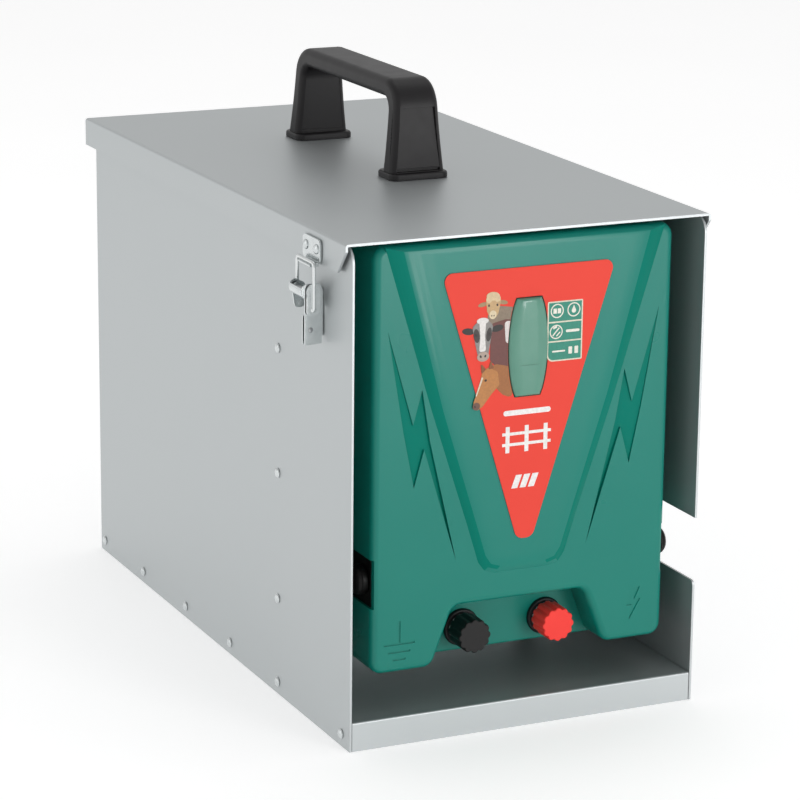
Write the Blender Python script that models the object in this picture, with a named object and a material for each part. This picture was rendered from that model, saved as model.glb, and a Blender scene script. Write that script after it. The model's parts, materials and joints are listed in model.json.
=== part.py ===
"""Battery-box electric fence energizer.

A folded sheet-metal carry box with a hinged lid, two toggle latches and a bridge handle.
An energizer in a green two-part plastic case is screwed to a divider in the open front;
the space behind the divider takes a 12 V battery.

Frame: origin on the floor under the middle of the overall box, +Z up, the open front
faces -Y. While a piece is drawn, y is counted from the middle of the body instead; the
lid overhangs the rear only, so every finished piece moves forward by half that overhang.
Every length below is in millimetres and is turned into metres when a mesh is made.
"""
import bpy
import bmesh
import math
from mathutils import Matrix, Vector

for old in list(bpy.data.objects):
    bpy.data.objects.remove(old, do_unlink=True)

MM = 0.001
GAP = 0.3                 # clearance between pieces that sit on each other

# ---- carry box -------------------------------------------------------------
BOX_W = 230.0             # body width over the side walls
BOX_D = 434.0             # body depth, front edges to rear wall
BOX_H = 305.0             # top face of the lid above the floor
SHEET = 1.5               # sheet thickness
FLOOR_Z = 18.0            # top face of the raised floor
WALL_TOP = BOX_H - SHEET - GAP
HX = BOX_W / 2
HY = BOX_D / 2
WALL_IN = HX - SHEET      # inner face of a side wall
CORNER_R = 10.0           # rounded upper front corner of each side wall
SLOT_Z0 = 77.0            # service slot in the right wall
SLOT_Z1 = 117.0
SLOT_BACK = -165.0
RETURN_W = 12.0           # folded return under the front and rear of the tray

# ---- lid -------------------------------------------------------------------
LID_SIDE = 3.5            # overhang of the lid past each side wall
LID_FRONT_Y = -215.0
LID_REAR_Y = 225.5
LID_FLANGE_Z = 286.5      # lower edge of the side and rear flanges
LID_HX = HX + LID_SIDE
TO_CENTRE = (HY - LID_REAR_Y) / 2

# ---- hinge -----------------------------------------------------------------
HINGE_Y = 221.0
HINGE_Z = 283.3
HINGE_R = 2.6
HINGE_HALF = 95.0
PIN_R = 1.25

# ---- divider and rivets ----------------------------------------------------
DIV_Y0 = -98.0            # front face of the divider panel
DIV_Y1 = DIV_Y0 + SHEET
DIV_FLANGE_Y = -118.0
DIV_TOP = 286.0
RIVET_Y = -108.0
RIVET_Z = (62.0, 142.0, 220.0)
BASE_RIVET_Z = 7.9
BASE_RIVET_Y = (-205.0, 206.0)
RIVET_SHANK = 1.6
RIVET_HEAD = 3.1

# ---- handle ----------------------------------------------------------------
HANDLE_X = 1.5            # the handle stands a little right of the middle
HANDLE_Y = 27.75          # middle of the handle
FOOT_OFFSET = 74.25       # foot centre from the middle of the handle
HANDLE_H = 61.0           # top of the handle above the lid
HANDLE_BASE_HALF = 19.0   # half width of a leg at the flange
HANDLE_TOP_HALF = 14.5    # half width of the grip

# ---- toggle latch (u is the distance outward from the side wall) -----------
LATCH_Y = -169.5
PIVOT_U = 10.9
PIVOT_Z = 270.5
BAIL_U = 8.5
BAIL_Z = 260.4
BAR_Z = 287.9             # crossbar of the bail, above the keeper's lip
WIRE_R = 1.1
LEG_OFFSET = 12.4         # bail leg from the latch centre line
LEVER_END_Z = 239.0

# ---- energizer case --------------------------------------------------------
CASE_HX = 97.5
CASE_Z0 = 42.0
CASE_Z1 = 300.0
CASE_FRONT = -208.5
RAISED_FRONT = -211.5     # face of the raised V-shaped centre field
CASE_PART = -150.0        # parting plane between the two case halves
CASE_BACK = DIV_Y0 - GAP
CASE_WALL = 2.5
CASE_R = 6.0
PANEL_Y = -185.0          # recessed terminal panel
RECESS_Z = 78.3
TERM_X = 28.0
TERM_Z = 56.5
KNOB_R = 10.7             # crests of the fluted terminal knob
POCKET_Z0 = 83.0
POCKET_Z1 = 113.0
POCKET_Y = -178.0         # rear end
POCKET_FRONT = -203.8     # front end of the deep part
POCKET_X = 90.0           # floor of the deep part
NOTCH_X = 95.7            # floor of the shallow notch through the front corner
SIDE_KNOB_Y = -193.0
SIDE_KNOB_Z = 98.0
LENS_Z = 234.0
LENS_H = 59.0


# ---------------------------------------------------------------- mesh helpers
def as_object(name, bm):
    """Turn a bmesh in millimetres into a scene object in metres."""
    bmesh.ops.recalc_face_normals(bm, faces=bm.faces)
    bmesh.ops.scale(bm, vec=(MM, MM, MM), verts=bm.verts)
    mesh = bpy.data.meshes.new(name)
    bm.to_mesh(mesh)
    bm.free()
    obj = bpy.data.objects.new(name, mesh)
    bpy.context.scene.collection.objects.link(obj)
    return obj


def lay(axis, a, b, along):
    """Place the plane coordinates a, b and the length along an axis."""
    if axis == "x":
        return Vector((along, a, b))
    if axis == "y":
        return Vector((a, along, b))
    return Vector((a, b, along))


def loft(name, axis, rings):
    """Solid through several closed outlines; rings is a list of (position, outline)."""
    bm = bmesh.new()
    layers = []
    for along, outline in rings:
        layers.append([bm.verts.new(lay(axis, a, b, along)) for a, b in outline])
    count = len(layers[0])
    bm.faces.new(layers[0])
    bm.faces.new(list(reversed(layers[-1])))
    for low, high in zip(layers, layers[1:]):
        for i in range(count):
            j = (i + 1) % count
            bm.faces.new((low[i], low[j], high[j], high[i]))
    return as_object(name, bm)


def prism(name, axis, outline, start, end):
    """Straight extrusion of an outline along an axis."""
    return loft(name, axis, [(start, outline), (end, outline)])


def box(name, low, high):
    """Axis-aligned block between two corners."""
    outline = [(low[0], low[1]), (high[0], low[1]), (high[0], high[1]), (low[0], high[1])]
    return prism(name, "z", outline, low[2], high[2])


def circle(a, b, radius, steps, turn=0.0):
    """Points of a circle in a plane."""
    points = []
    for i in range(steps):
        angle = turn + 2 * math.pi * i / steps
        points.append((a + radius * math.cos(angle), b + radius * math.sin(angle)))
    return points


def rod(name, axis, a, b, radius, start, end, steps=24):
    """Plain cylinder."""
    return prism(name, axis, circle(a, b, radius, steps), start, end)


def turned(name, axis, a, b, profile, steps=24):
    """Turned solid; profile is a list of (position along the axis, radius)."""
    bm = bmesh.new()
    rings = []
    for along, radius in profile:
        if radius <= 0.0001:
            rings.append([bm.verts.new(lay(axis, a, b, along))])
        else:
            ring = [bm.verts.new(lay(axis, p, q, along)) for p, q in circle(a, b, radius, steps)]
            rings.append(ring)
    for low, high in zip(rings, rings[1:]):
        for i in range(steps):
            j = (i + 1) % steps
            if len(low) == 1:
                bm.faces.new((low[0], high[j], high[i]))
            elif len(high) == 1:
                bm.faces.new((low[i], low[j], high[0]))
            else:
                bm.faces.new((low[i], low[j], high[j], high[i]))
    if len(rings[0]) > 1:
        bm.faces.new(rings[0])
    if len(rings[-1]) > 1:
        bm.faces.new(list(reversed(rings[-1])))
    return as_object(name, bm)


def rounded(points, radii, steps=4):
    """Round the corners of a closed outline."""
    result = []
    count = len(points)
    for i in range(count):
        radius = radii[i] if isinstance(radii, (list, tuple)) else radii
        here = Vector(points[i])
        before = Vector(points[i - 1]) - here
        after = Vector(points[(i + 1) % count]) - here
        if radius <= 0:
            result.append((here.x, here.y))
            continue
        half = before.angle(after) / 2
        reach = min(radius / math.tan(half), before.length * 0.49, after.length * 0.49)
        radius = reach * math.tan(half)
        first = here + before.normalized() * reach
        last = here + after.normalized() * reach
        centre = here + (before.normalized() + after.normalized()).normalized() * (
            radius / math.sin(half))
        start = first - centre
        sweep = start.angle_signed(last - centre)
        for k in range(steps + 1):
            spin = Matrix.Rotation(-sweep * k / steps, 2)
            point = centre + spin @ start
            result.append((point.x, point.y))
    return result


def rectangle(a0, a1, b0, b1, radius=0.0, steps=4):
    """Rectangle outline, corners rounded if a radius is given."""
    corners = [(a0, b0), (a1, b0), (a1, b1), (a0, b1)]
    return rounded(corners, radius, steps) if radius else corners


def combine(target, tool, operation):
    """Exact Boolean of two solids; the tool is removed afterwards."""
    modifier = target.modifiers.new("cut", "BOOLEAN")
    modifier.solver = "EXACT"
    modifier.operation = operation
    modifier.object = tool
    bpy.context.view_layer.update()
    graph = bpy.context.evaluated_depsgraph_get()
    mesh = bpy.data.meshes.new_from_object(target.evaluated_get(graph))
    target.modifiers.clear()
    target.data = mesh
    bpy.data.objects.remove(tool, do_unlink=True)
    return target


def cut(target, *tools):
    """Take tools away from the target."""
    for tool in tools:
        combine(target, tool, "DIFFERENCE")
    return target


def join(target, *tools):
    """Add tools to the target as one solid."""
    for tool in tools:
        combine(target, tool, "UNION")
    return target


def soften(obj, width, test, steps=2):
    """Bevel the edges whose two ends (in millimetres) pass the test."""
    bm = bmesh.new()
    bm.from_mesh(obj.data)
    edges = []
    for edge in bm.edges:
        if len(edge.link_faces) != 2:
            continue
        if edge.calc_face_angle(0.0) < math.radians(20):
            continue
        ends = [vert.co / MM for vert in edge.verts]
        if test(ends[0], ends[1]):
            edges.append(edge)
    bmesh.ops.bevel(bm, geom=edges, offset=width * MM, segments=steps,
                    affect="EDGES", profile=0.5, clamp_overlap=True)
    bmesh.ops.remove_doubles(bm, verts=bm.verts, dist=0.000002)
    bm.to_mesh(obj.data)
    bm.free()
    return obj


def set_origin(obj, point):
    """Put the object's origin on a point given in millimetres."""
    shift = (Vector(point) + Vector((0.0, TO_CENTRE, 0.0))) * MM
    obj.data.transform(Matrix.Translation(-shift))
    obj.location = shift


def finish(obj, name, colour, metallic=0.0, rough=0.5, origin=None):
    """Name a piece, clean it up, shade it and give it its own material."""
    obj.name = name
    obj.data.name = name
    bm = bmesh.new()
    bm.from_mesh(obj.data)
    bmesh.ops.remove_doubles(bm, verts=bm.verts, dist=0.000002)
    bmesh.ops.dissolve_degenerate(bm, dist=0.000002, edges=bm.edges)
    bmesh.ops.translate(bm, vec=(0.0, TO_CENTRE * MM, 0.0), verts=bm.verts)
    bm.to_mesh(obj.data)
    bm.free()
    for polygon in obj.data.polygons:
        polygon.use_smooth = True
    obj.data.set_sharp_from_angle(angle=math.radians(35))
    material = bpy.data.materials.new(name + "_material")
    material.use_nodes = True
    shader = material.node_tree.nodes["Principled BSDF"]
    shader.inputs["Base Color"].default_value = (colour[0], colour[1], colour[2], 1.0)
    shader.inputs["Metallic"].default_value = metallic
    shader.inputs["Roughness"].default_value = rough
    obj.data.materials.clear()
    obj.data.materials.append(material)
    if origin is not None:
        set_origin(obj, origin)
    return obj


GALVANISED = (0.44, 0.47, 0.49)
ZINC = (0.62, 0.64, 0.65)
STEEL = (0.50, 0.50, 0.50)
BRASS = (0.72, 0.52, 0.22)
GREEN = (0.030, 0.230, 0.185)
BLACK = (0.020, 0.020, 0.020)
RED = (0.800, 0.060, 0.050)


# ------------------------------------------------------------------- carry box
def build_body_wrap():
    """Left wall, rear wall and right wall, folded from one sheet."""
    outer = [(-HX, -HY), (HX, -HY), (HX, HY), (-HX, HY)]
    wrap = prism("wrap", "z", rounded(outer, [0, 0, 3.0, 3.0], 3), 0.0, WALL_TOP)
    inner = [(-WALL_IN, -HY - 10), (WALL_IN, -HY - 10), (WALL_IN, HY - SHEET), (-WALL_IN, HY - SHEET)]
    cut(wrap, prism("inside", "z", rounded(inner, [0, 0, 1.5, 1.5], 3), -10.0, BOX_H + 10))
    corner = [(-HY - 5, WALL_TOP - CORNER_R), (-HY, WALL_TOP - CORNER_R)]
    for k in range(1, 6):
        angle = math.pi / 2 * k / 6
        corner.append((-HY + CORNER_R * (1 - math.cos(angle)),
                       WALL_TOP - CORNER_R * (1 - math.sin(angle))))
    corner += [(-HY + CORNER_R, WALL_TOP), (-HY + CORNER_R, WALL_TOP + 5), (-HY - 5, WALL_TOP + 5)]
    cut(wrap, prism("corner", "x", corner, -HX - 5, HX + 5))
    slot = [(-HY - 5, SLOT_Z0 - 3.0), (-HY, SLOT_Z0 - 3.0), (-HY + 0.9, SLOT_Z0 - 0.9), (-HY + 3.0, SLOT_Z0),
            (SLOT_BACK - 4, SLOT_Z0), (SLOT_BACK - 1.2, SLOT_Z0 + 1.2), (SLOT_BACK, SLOT_Z0 + 4),
            (SLOT_BACK, SLOT_Z1 - 4), (SLOT_BACK - 1.2, SLOT_Z1 - 1.2), (SLOT_BACK - 4, SLOT_Z1),
            (-HY, SLOT_Z1), (-HY - 5, SLOT_Z1)]
    cut(wrap, prism("slot", "x", slot, WALL_IN - 5, HX + 5))
    for z in RIVET_Z:
        cut(wrap, rod("hole", "x", RIVET_Y, z, RIVET_SHANK + GAP, -HX - 5, HX + 5, 12))
    for y in BASE_RIVET_Y:
        cut(wrap, rod("hole", "x", y, BASE_RIVET_Z, RIVET_SHANK + GAP, -HX - 5, HX + 5, 12))
    finish(wrap, "body_wrap", GALVANISED, 0.85, 0.45)


def build_base_tray():
    """Raised floor with its edges folded down; the lower edges stand on the ground."""
    side = WALL_IN - GAP
    front = -HY + 0.2
    rear = HY - SHEET - GAP
    corners = [(-side, front), (side, front), (side, rear), (-side, rear)]
    tray = prism("tray", "z", rounded(corners, [0, 0, 2.0, 2.0], 3), 0.0, FLOOR_Z)
    cut(tray, box("under", (-side + SHEET, front + SHEET, -5.0),
                  (side - SHEET, rear - SHEET, FLOOR_Z - SHEET)))
    join(tray, box("return_front", (-side + SHEET - 0.4, front + SHEET - 0.4, 0.0),
                   (side - SHEET + 0.4, front + SHEET + RETURN_W, SHEET)))
    join(tray, box("return_rear", (-side + SHEET - 0.4, rear - SHEET - RETURN_W, 0.0),
                   (side - SHEET + 0.4, rear - SHEET + 0.4, SHEET)))
    for y in BASE_RIVET_Y:
        cut(tray, rod("hole", "x", y, BASE_RIVET_Z, RIVET_SHANK + GAP, -HX - 5, HX + 5, 12))
    soften(tray, 1.2, lambda p, q: min(p.z, q.z) > FLOOR_Z - 0.1 and max(p.y, q.y) < front + 0.1, 3)
    finish(tray, "base_tray", GALVANISED, 0.85, 0.42)


def build_divider():
    """Upright panel between the energizer and the battery, with flanges for rivets."""
    side = WALL_IN - GAP
    panel = box("panel", (-side, DIV_FLANGE_Y, FLOOR_Z + GAP), (side, DIV_Y1, DIV_TOP))
    cut(panel, box("front", (-side + SHEET, DIV_FLANGE_Y - 5, 0.0), (side - SHEET, DIV_Y0, DIV_TOP + 10)))
    join(panel, box("fold", (-side, DIV_Y0 + 0.2, DIV_TOP - SHEET), (side, DIV_Y1 + 12, DIV_TOP)))
    for z in RIVET_Z:
        cut(panel, rod("hole", "x", RIVET_Y, z, RIVET_SHANK + GAP, -HX - 5, HX + 5, 12))
    cut(panel, rod("cable", "y", 60.0, 31.0, 6.5, DIV_FLANGE_Y, DIV_Y1 + 5, 24))
    for x in (-50.0, 50.0):
        cut(panel, rod("screw", "y", x, 250.0, 2.5, DIV_FLANGE_Y, DIV_Y1 + 5, 16))
        cut(panel, rod("screw", "y", x, 120.0, 2.5, DIV_FLANGE_Y, DIV_Y1 + 5, 16))
    finish(panel, "divider", GALVANISED, 0.85, 0.45)


def build_lid():
    """Flat cover with side and rear flanges, open along the front."""
    lid = box("lid", (-LID_HX, LID_FRONT_Y, LID_FLANGE_Z), (LID_HX, LID_REAR_Y, BOX_H))
    soften(lid, 2.0, lambda p, q: min(p.z, q.z) > BOX_H - 0.1 and max(p.y, q.y) > LID_FRONT_Y + 1, 3)
    cut(lid, box("inside", (-LID_HX + SHEET, LID_FRONT_Y - 10, LID_FLANGE_Z - 10),
                 (LID_HX - SHEET, LID_REAR_Y - SHEET, BOX_H - SHEET)))
    nose = [(LID_FRONT_Y - 5, LID_FLANGE_Z - 5), (LID_FRONT_Y + 14, LID_FLANGE_Z - 5),
            (LID_FRONT_Y + 11.5, LID_FLANGE_Z), (LID_FRONT_Y, BOX_H - 4.5), (LID_FRONT_Y - 5, BOX_H - 4.5)]
    cut(lid, prism("nose", "x", nose, -LID_HX - 5, LID_HX + 5))
    for y in (HANDLE_Y - FOOT_OFFSET, HANDLE_Y + FOOT_OFFSET):
        cut(lid, rod("screw", "z", HANDLE_X, y, 3.3, BOX_H - 10, BOX_H + 10, 24))
    finish(lid, "lid", GALVANISED, 0.85, 0.45, (0.0, HINGE_Y, HINGE_Z))


def build_hinge():
    """Three-knuckle hinge behind the rear wall; the outer knuckles belong to the body."""
    third = HINGE_HALF / 3
    leaf = box("leaf", (-HINGE_HALF, HY + GAP, HINGE_Z - 23), (HINGE_HALF, HY + GAP + 1.1, HINGE_Z - 3.2))
    for side in (-1, 1):
        a, b = sorted((side * (third + 0.4), side * HINGE_HALF))
        join(leaf, box("neck", (a, HY + GAP, HINGE_Z - 4), (b, HY + GAP + 1.9, HINGE_Z)))
        join(leaf, rod("knuckle", "x", HINGE_Y, HINGE_Z, HINGE_R, a, b, 20))
    cut(leaf, rod("bore", "x", HINGE_Y, HINGE_Z, PIN_R + 0.08, -HINGE_HALF - 5, HINGE_HALF + 5, 20))
    finish(leaf, "hinge_leaf_body", ZINC, 0.9, 0.35)
    inner = LID_REAR_Y - SHEET - GAP
    upper = box("upper", (-HINGE_HALF, inner - 1.1, HINGE_Z + 3.2), (HINGE_HALF, inner, HINGE_Z + 17))
    join(upper, box("neck", (-third, inner - 1.1, HINGE_Z), (third, inner, HINGE_Z + 4)))
    join(upper, rod("knuckle", "x", HINGE_Y, HINGE_Z, HINGE_R, -third, third, 20))
    cut(upper, rod("bore", "x", HINGE_Y, HINGE_Z, PIN_R + 0.08, -HINGE_HALF - 5, HINGE_HALF + 5, 20))
    finish(upper, "hinge_leaf_lid", ZINC, 0.9, 0.35, (0.0, HINGE_Y, HINGE_Z))
    pin = rod("pin", "x", HINGE_Y, HINGE_Z, PIN_R, -HINGE_HALF - 1, HINGE_HALF + 1, 20)
    finish(pin, "hinge_pin", STEEL, 0.9, 0.3)


def build_rivet(name, side, y, z):
    """Domed rivet through a side wall and the flange behind it."""
    out = HX + 0.25
    profile = [(side * (out + 1.5), 0.0), (side * (out + 1.3), 1.3), (side * (out + 0.8), 2.4),
               (side * (out + 0.0), RIVET_HEAD), (side * out, RIVET_SHANK),
               (side * (HX - 3.6), RIVET_SHANK), (side * (HX - 3.6), 2.5), (side * (HX - 4.5), 2.5),
               (side * (HX - 4.5), 0.0)]
    rivet = turned(name, "x", y, z, profile, 12)
    finish(rivet, name, ZINC, 0.9, 0.35)


# ---------------------------------------------------------------------- handle
def build_handle():
    """Bridge handle: two flared legs on flanged feet under a broad flat grip."""
    base = BOX_H + GAP
    arch = [(-83.0, 3.0), (-79.5, HANDLE_H), (79.5, HANDLE_H), (83.0, 3.0),
            (67.5, 3.0), (67.0, 48.5), (-67.0, 48.5), (-67.5, 3.0)]
    arch = rounded(arch, [0, 18.0, 18.0, 0, 0, 8.0, 8.0, 0], 5)
    outline = [(y + HANDLE_Y, z + base - GAP) for y, z in arch]
    handle = loft("handle", "x", [(-19.0, outline), (0.0, outline), (19.0, outline)])
    for vert in handle.data.vertices:
        height = (vert.co.z / MM - base) / HANDLE_H
        flare = HANDLE_TOP_HALF + (HANDLE_BASE_HALF - HANDLE_TOP_HALF) * max(0.0, 1 - height) ** 1.6
        vert.co.x *= flare / 19.0
    soften(handle, 3.6, lambda p, q: abs(p.x) > 5 and p.x * q.x > 0 and max(p.z, q.z) > base + 4, 3)
    for vert in handle.data.vertices:
        vert.co.x += HANDLE_X * MM
    for side in (-1, 1):
        y = HANDLE_Y + side * FOOT_OFFSET
        foot = rectangle(HANDLE_X - 19.9, HANDLE_X + 19.9, y - 12.6, y + 12.6, 5.0, 4)
        smaller = rectangle(HANDLE_X - 19.1, HANDLE_X + 19.1, y - 11.8, y + 11.8, 4.4, 4)
        join(handle, loft("foot", "z", [(base, foot), (base + 3.0, foot), (base + 4.0, smaller)]))
        cut(handle, rod("hole", "z", HANDLE_X, y, 3.2, base - 5, base + 24, 20))
    finish(handle, "handle", BLACK, 0.0, 0.5)
    for tag, side in (("front", -1), ("rear", 1)):
        y = HANDLE_Y + side * FOOT_OFFSET
        under = BOX_H - SHEET
        profile = [(under - 4.3, 0.0), (under - 4.3, 5.6), (under - 3.6, 6.6), (under - 0.3, 7.0),
                   (under - 0.3, 3.0), (under + 20.0, 3.0), (under + 21.0, 2.0), (under + 21.0, 0.0)]
        screw = turned("screw", "z", HANDLE_X, y, profile, 20)
        finish(screw, "handle_screw_" + tag, ZINC, 0.9, 0.3)


def tidy_washer(obj):
    """Close a ring whose profile starts and ends on the same circle."""
    bm = bmesh.new()
    bm.from_mesh(obj.data)
    bmesh.ops.remove_doubles(bm, verts=bm.verts, dist=0.000002)
    flat = [face for face in bm.faces if len(face.verts) > 8]
    bmesh.ops.delete(bm, geom=flat, context="FACES_ONLY")
    bmesh.ops.recalc_face_normals(bm, faces=bm.faces)
    bm.to_mesh(obj.data)
    bm.free()
    return obj


# --------------------------------------------------------------- toggle latches
def build_latch(side, tag):
    """Keeper on the lid flange; base, lever, pin and wire bail on the side wall."""
    def out(u):
        return side * (HX + u)

    def plan(points):
        return [(out(u), z) for u, z in points]

    y0 = LATCH_Y
    # keeper: plate on the lid flange with a lip folded outward under the crossbar
    keeper = prism("keeper", "x", rectangle(y0 - 12.5, y0 + 12.5, 287.0, 301.0, 3.0, 3), out(3.8), out(5.2))
    lip = [(3.8, 284.9), (9.4, 284.9), (9.8, 285.2), (9.8, 286.0), (9.4, 286.3), (5.2, 286.3), (5.2, 289.0),
           (3.8, 289.0)]
    join(keeper, prism("lip", "y", plan(lip), y0 - 8.6, y0 + 8.6))
    finish(keeper, "latch_keeper_" + tag, ZINC, 0.95, 0.25, (0.0, HINGE_Y, HINGE_Z))
    # base: plate on the wall with two ears that hold the pivot pin
    base = prism("base", "x", rectangle(y0 - 6.8, y0 + 6.8, 243.0, 272.0, 2.0, 3), out(0.3), out(1.5))
    ear = [(0.6, 270.5), (0.6, 259.5)]
    for k in range(9):
        angle = math.radians(-75 + 240 * k / 8)
        ear.append((PIVOT_U + 2.95 * math.cos(angle), PIVOT_Z + 2.95 * math.sin(angle)))
    ear.append((PIVOT_U - 2.95, PIVOT_Z - 0.5))
    for sign in (-1, 1):
        a, b = sorted((y0 + sign * 5.5, y0 + sign * 6.7))
        join(base, prism("ear", "y", plan(ear), a, b))
    cut(base, rod("bore", "y", out(PIVOT_U), PIVOT_Z, 1.58, y0 - 20, y0 + 20, 16))
    finish(base, "latch_base_" + tag, ZINC, 0.95, 0.3)
    # lever: head rolled round the pivot between two cheeks; the front cheek runs down into a
    # narrow channel that serves as the finger grip
    cheek = rounded([(2.3, LEVER_END_Z + 0.6), (12.9, LEVER_END_Z), (12.9, 266.5), (14.9, 269.0),
                     (14.9, 273.5), (11.5, 275.3), (3.4, 275.0), (2.3, 271.0)],
                    [0.6, 0.6, 2.0, 2.0, 2.0, 2.0, 1.2, 2.0], 3)
    rear = rounded([(5.2, 257.6), (11.6, 257.6), (12.9, 266.5), (14.9, 269.0), (14.9, 273.5), (11.5, 275.3),
                    (5.2, 272.0)], [2.6, 2.6, 2.0, 2.0, 2.0, 2.0, 2.0], 3)
    strip = rounded([(4.0, LEVER_END_Z + 0.6), (12.9, LEVER_END_Z), (12.9, 257.0), (4.0, 257.0)],
                    [0.6, 0.6, 2.0, 1.0], 3)
    web = [(4.0, LEVER_END_Z + 1.0), (5.2, LEVER_END_Z + 1.0), (5.2, 256.0), (4.0, 256.0)]
    lever = prism("lever", "y", plan(cheek), y0 - 9.6, y0 - 8.4)
    join(lever, prism("web", "y", plan(web), y0 - 9.0, y0 - 6.0))
    join(lever, prism("strip", "y", plan(strip), y0 - 6.4, y0 - 5.2))
    join(lever, prism("cheek", "y", plan(rear), y0 + 8.4, y0 + 9.6))
    roll = []
    for k in range(9):
        angle = math.radians(-62 + 92 * k / 8)
        roll.append((PIVOT_U + 4.4 * math.cos(angle), PIVOT_Z + 4.4 * math.sin(angle)))
    for k in range(9):
        angle = math.radians(30 - 92 * k / 8)
        roll.append((PIVOT_U + 3.3 * math.cos(angle), PIVOT_Z + 3.3 * math.sin(angle)))
    join(lever, prism("roll", "y", plan(roll), y0 - 9.0, y0 + 9.0))
    cut(lever, rod("bore", "y", out(PIVOT_U), PIVOT_Z, 1.58, y0 - 20, y0 + 20, 16))
    cut(lever, rod("bail_bore", "y", out(BAIL_U), BAIL_Z, WIRE_R + 0.2, y0 - 20, y0 + 20, 16))
    finish(lever, "latch_lever_" + tag, ZINC, 0.95, 0.22, (out(PIVOT_U), y0, PIVOT_Z))
    pin = rod("pin", "y", out(PIVOT_U), PIVOT_Z, 1.5, y0 - 9.75, y0 + 9.75, 16)
    finish(pin, "latch_pin_" + tag, STEEL, 0.9, 0.3)
    # bail: closed wire loop, its two ends turned inward through the cheeks; the front leg
    # carries a flat side plate
    path = [Vector((out(BAIL_U), y0 - 8.3, BAIL_Z)),
            Vector((out(BAIL_U), y0 - LEG_OFFSET + 0.9, BAIL_Z)),
            Vector((out(BAIL_U), y0 - LEG_OFFSET + 0.2, BAIL_Z + 0.3)),
            Vector((out(BAIL_U), y0 - LEG_OFFSET, BAIL_Z + 1.0)),
            Vector((out(BAIL_U), y0 - LEG_OFFSET, BAR_Z - 2.4)),
            Vector((out(BAIL_U), y0 - LEG_OFFSET + 0.7, BAR_Z - 0.7)),
            Vector((out(BAIL_U), y0 - LEG_OFFSET + 2.4, BAR_Z))]
    mirror = [Vector((p.x, 2 * y0 - p.y, p.z)) for p in reversed(path)]
    bail = wire("bail", path + mirror, WIRE_R, 10)
    plate = rounded([(BAIL_U - 4.0, BAIL_Z - 3.4), (BAIL_U + 4.0, BAIL_Z - 3.4),
                     (BAIL_U + 4.0, BAIL_Z + 15.0), (BAIL_U - 4.0, BAIL_Z + 15.0)], [3.6, 2.0, 3.9, 3.9], 4)
    join(bail, prism("plate", "y", plan(plate), y0 - 11.7, y0 - 10.5))
    finish(bail, "latch_bail_" + tag, ZINC, 0.95, 0.2, (out(BAIL_U), y0, BAIL_Z))


def wire(name, path, radius, steps):
    """Round wire along a path that lies in one plane x = constant."""
    bm = bmesh.new()
    rings = []
    count = len(path)
    for i, point in enumerate(path):
        before = path[max(i - 1, 0)]
        after = path[min(i + 1, count - 1)]
        along = (after - before).normalized()
        if 0 < i < count - 1:
            first = (point - before).normalized()
            second = (after - point).normalized()
            along = (first + second).normalized()
            stretch = 1.0 / max(0.5, math.cos(first.angle(second) / 2))
        else:
            stretch = 1.0
        sideways = Vector((1.0, 0.0, 0.0))
        normal = along.cross(sideways).normalized()
        ring = []
        for k in range(steps):
            angle = 2 * math.pi * k / steps
            offset = sideways * radius * math.cos(angle) + normal * radius * stretch * math.sin(angle)
            ring.append(bm.verts.new(point + offset))
        rings.append(ring)
    for low, high in zip(rings, rings[1:]):
        for k in range(steps):
            m = (k + 1) % steps
            bm.faces.new((low[k], low[m], high[m], high[k]))
    bm.faces.new(rings[0])
    bm.faces.new(list(reversed(rings[-1])))
    return as_object(name, bm)


# -------------------------------------------------------------- energizer case
def barrel_outline(grow, steps=8):
    """Outline of the window: straight ends, bulging sides."""
    half = LENS_H / 2 + grow
    right = []
    for k in range(steps + 1):
        t = -1 + 2 * k / steps
        right.append((8.0 + 4.8 * (1 - t * t) ** 0.8 + grow, LENS_Z + t * half))
    left = [(-x, z) for x, z in reversed(right)]
    return right + left


def bolt_outline(side):
    """Lightning bolt engraved on each side of the front face."""
    points = [(88.7, 250.0), (78.4, 189.5), (71.2, 154.5), (64.8, 177.3), (43.0, 106.5), (61.0, 181.5),
              (66.5, 213.5), (72.1, 192.8)]
    return [(side * x, z) for x, z in points]


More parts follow.
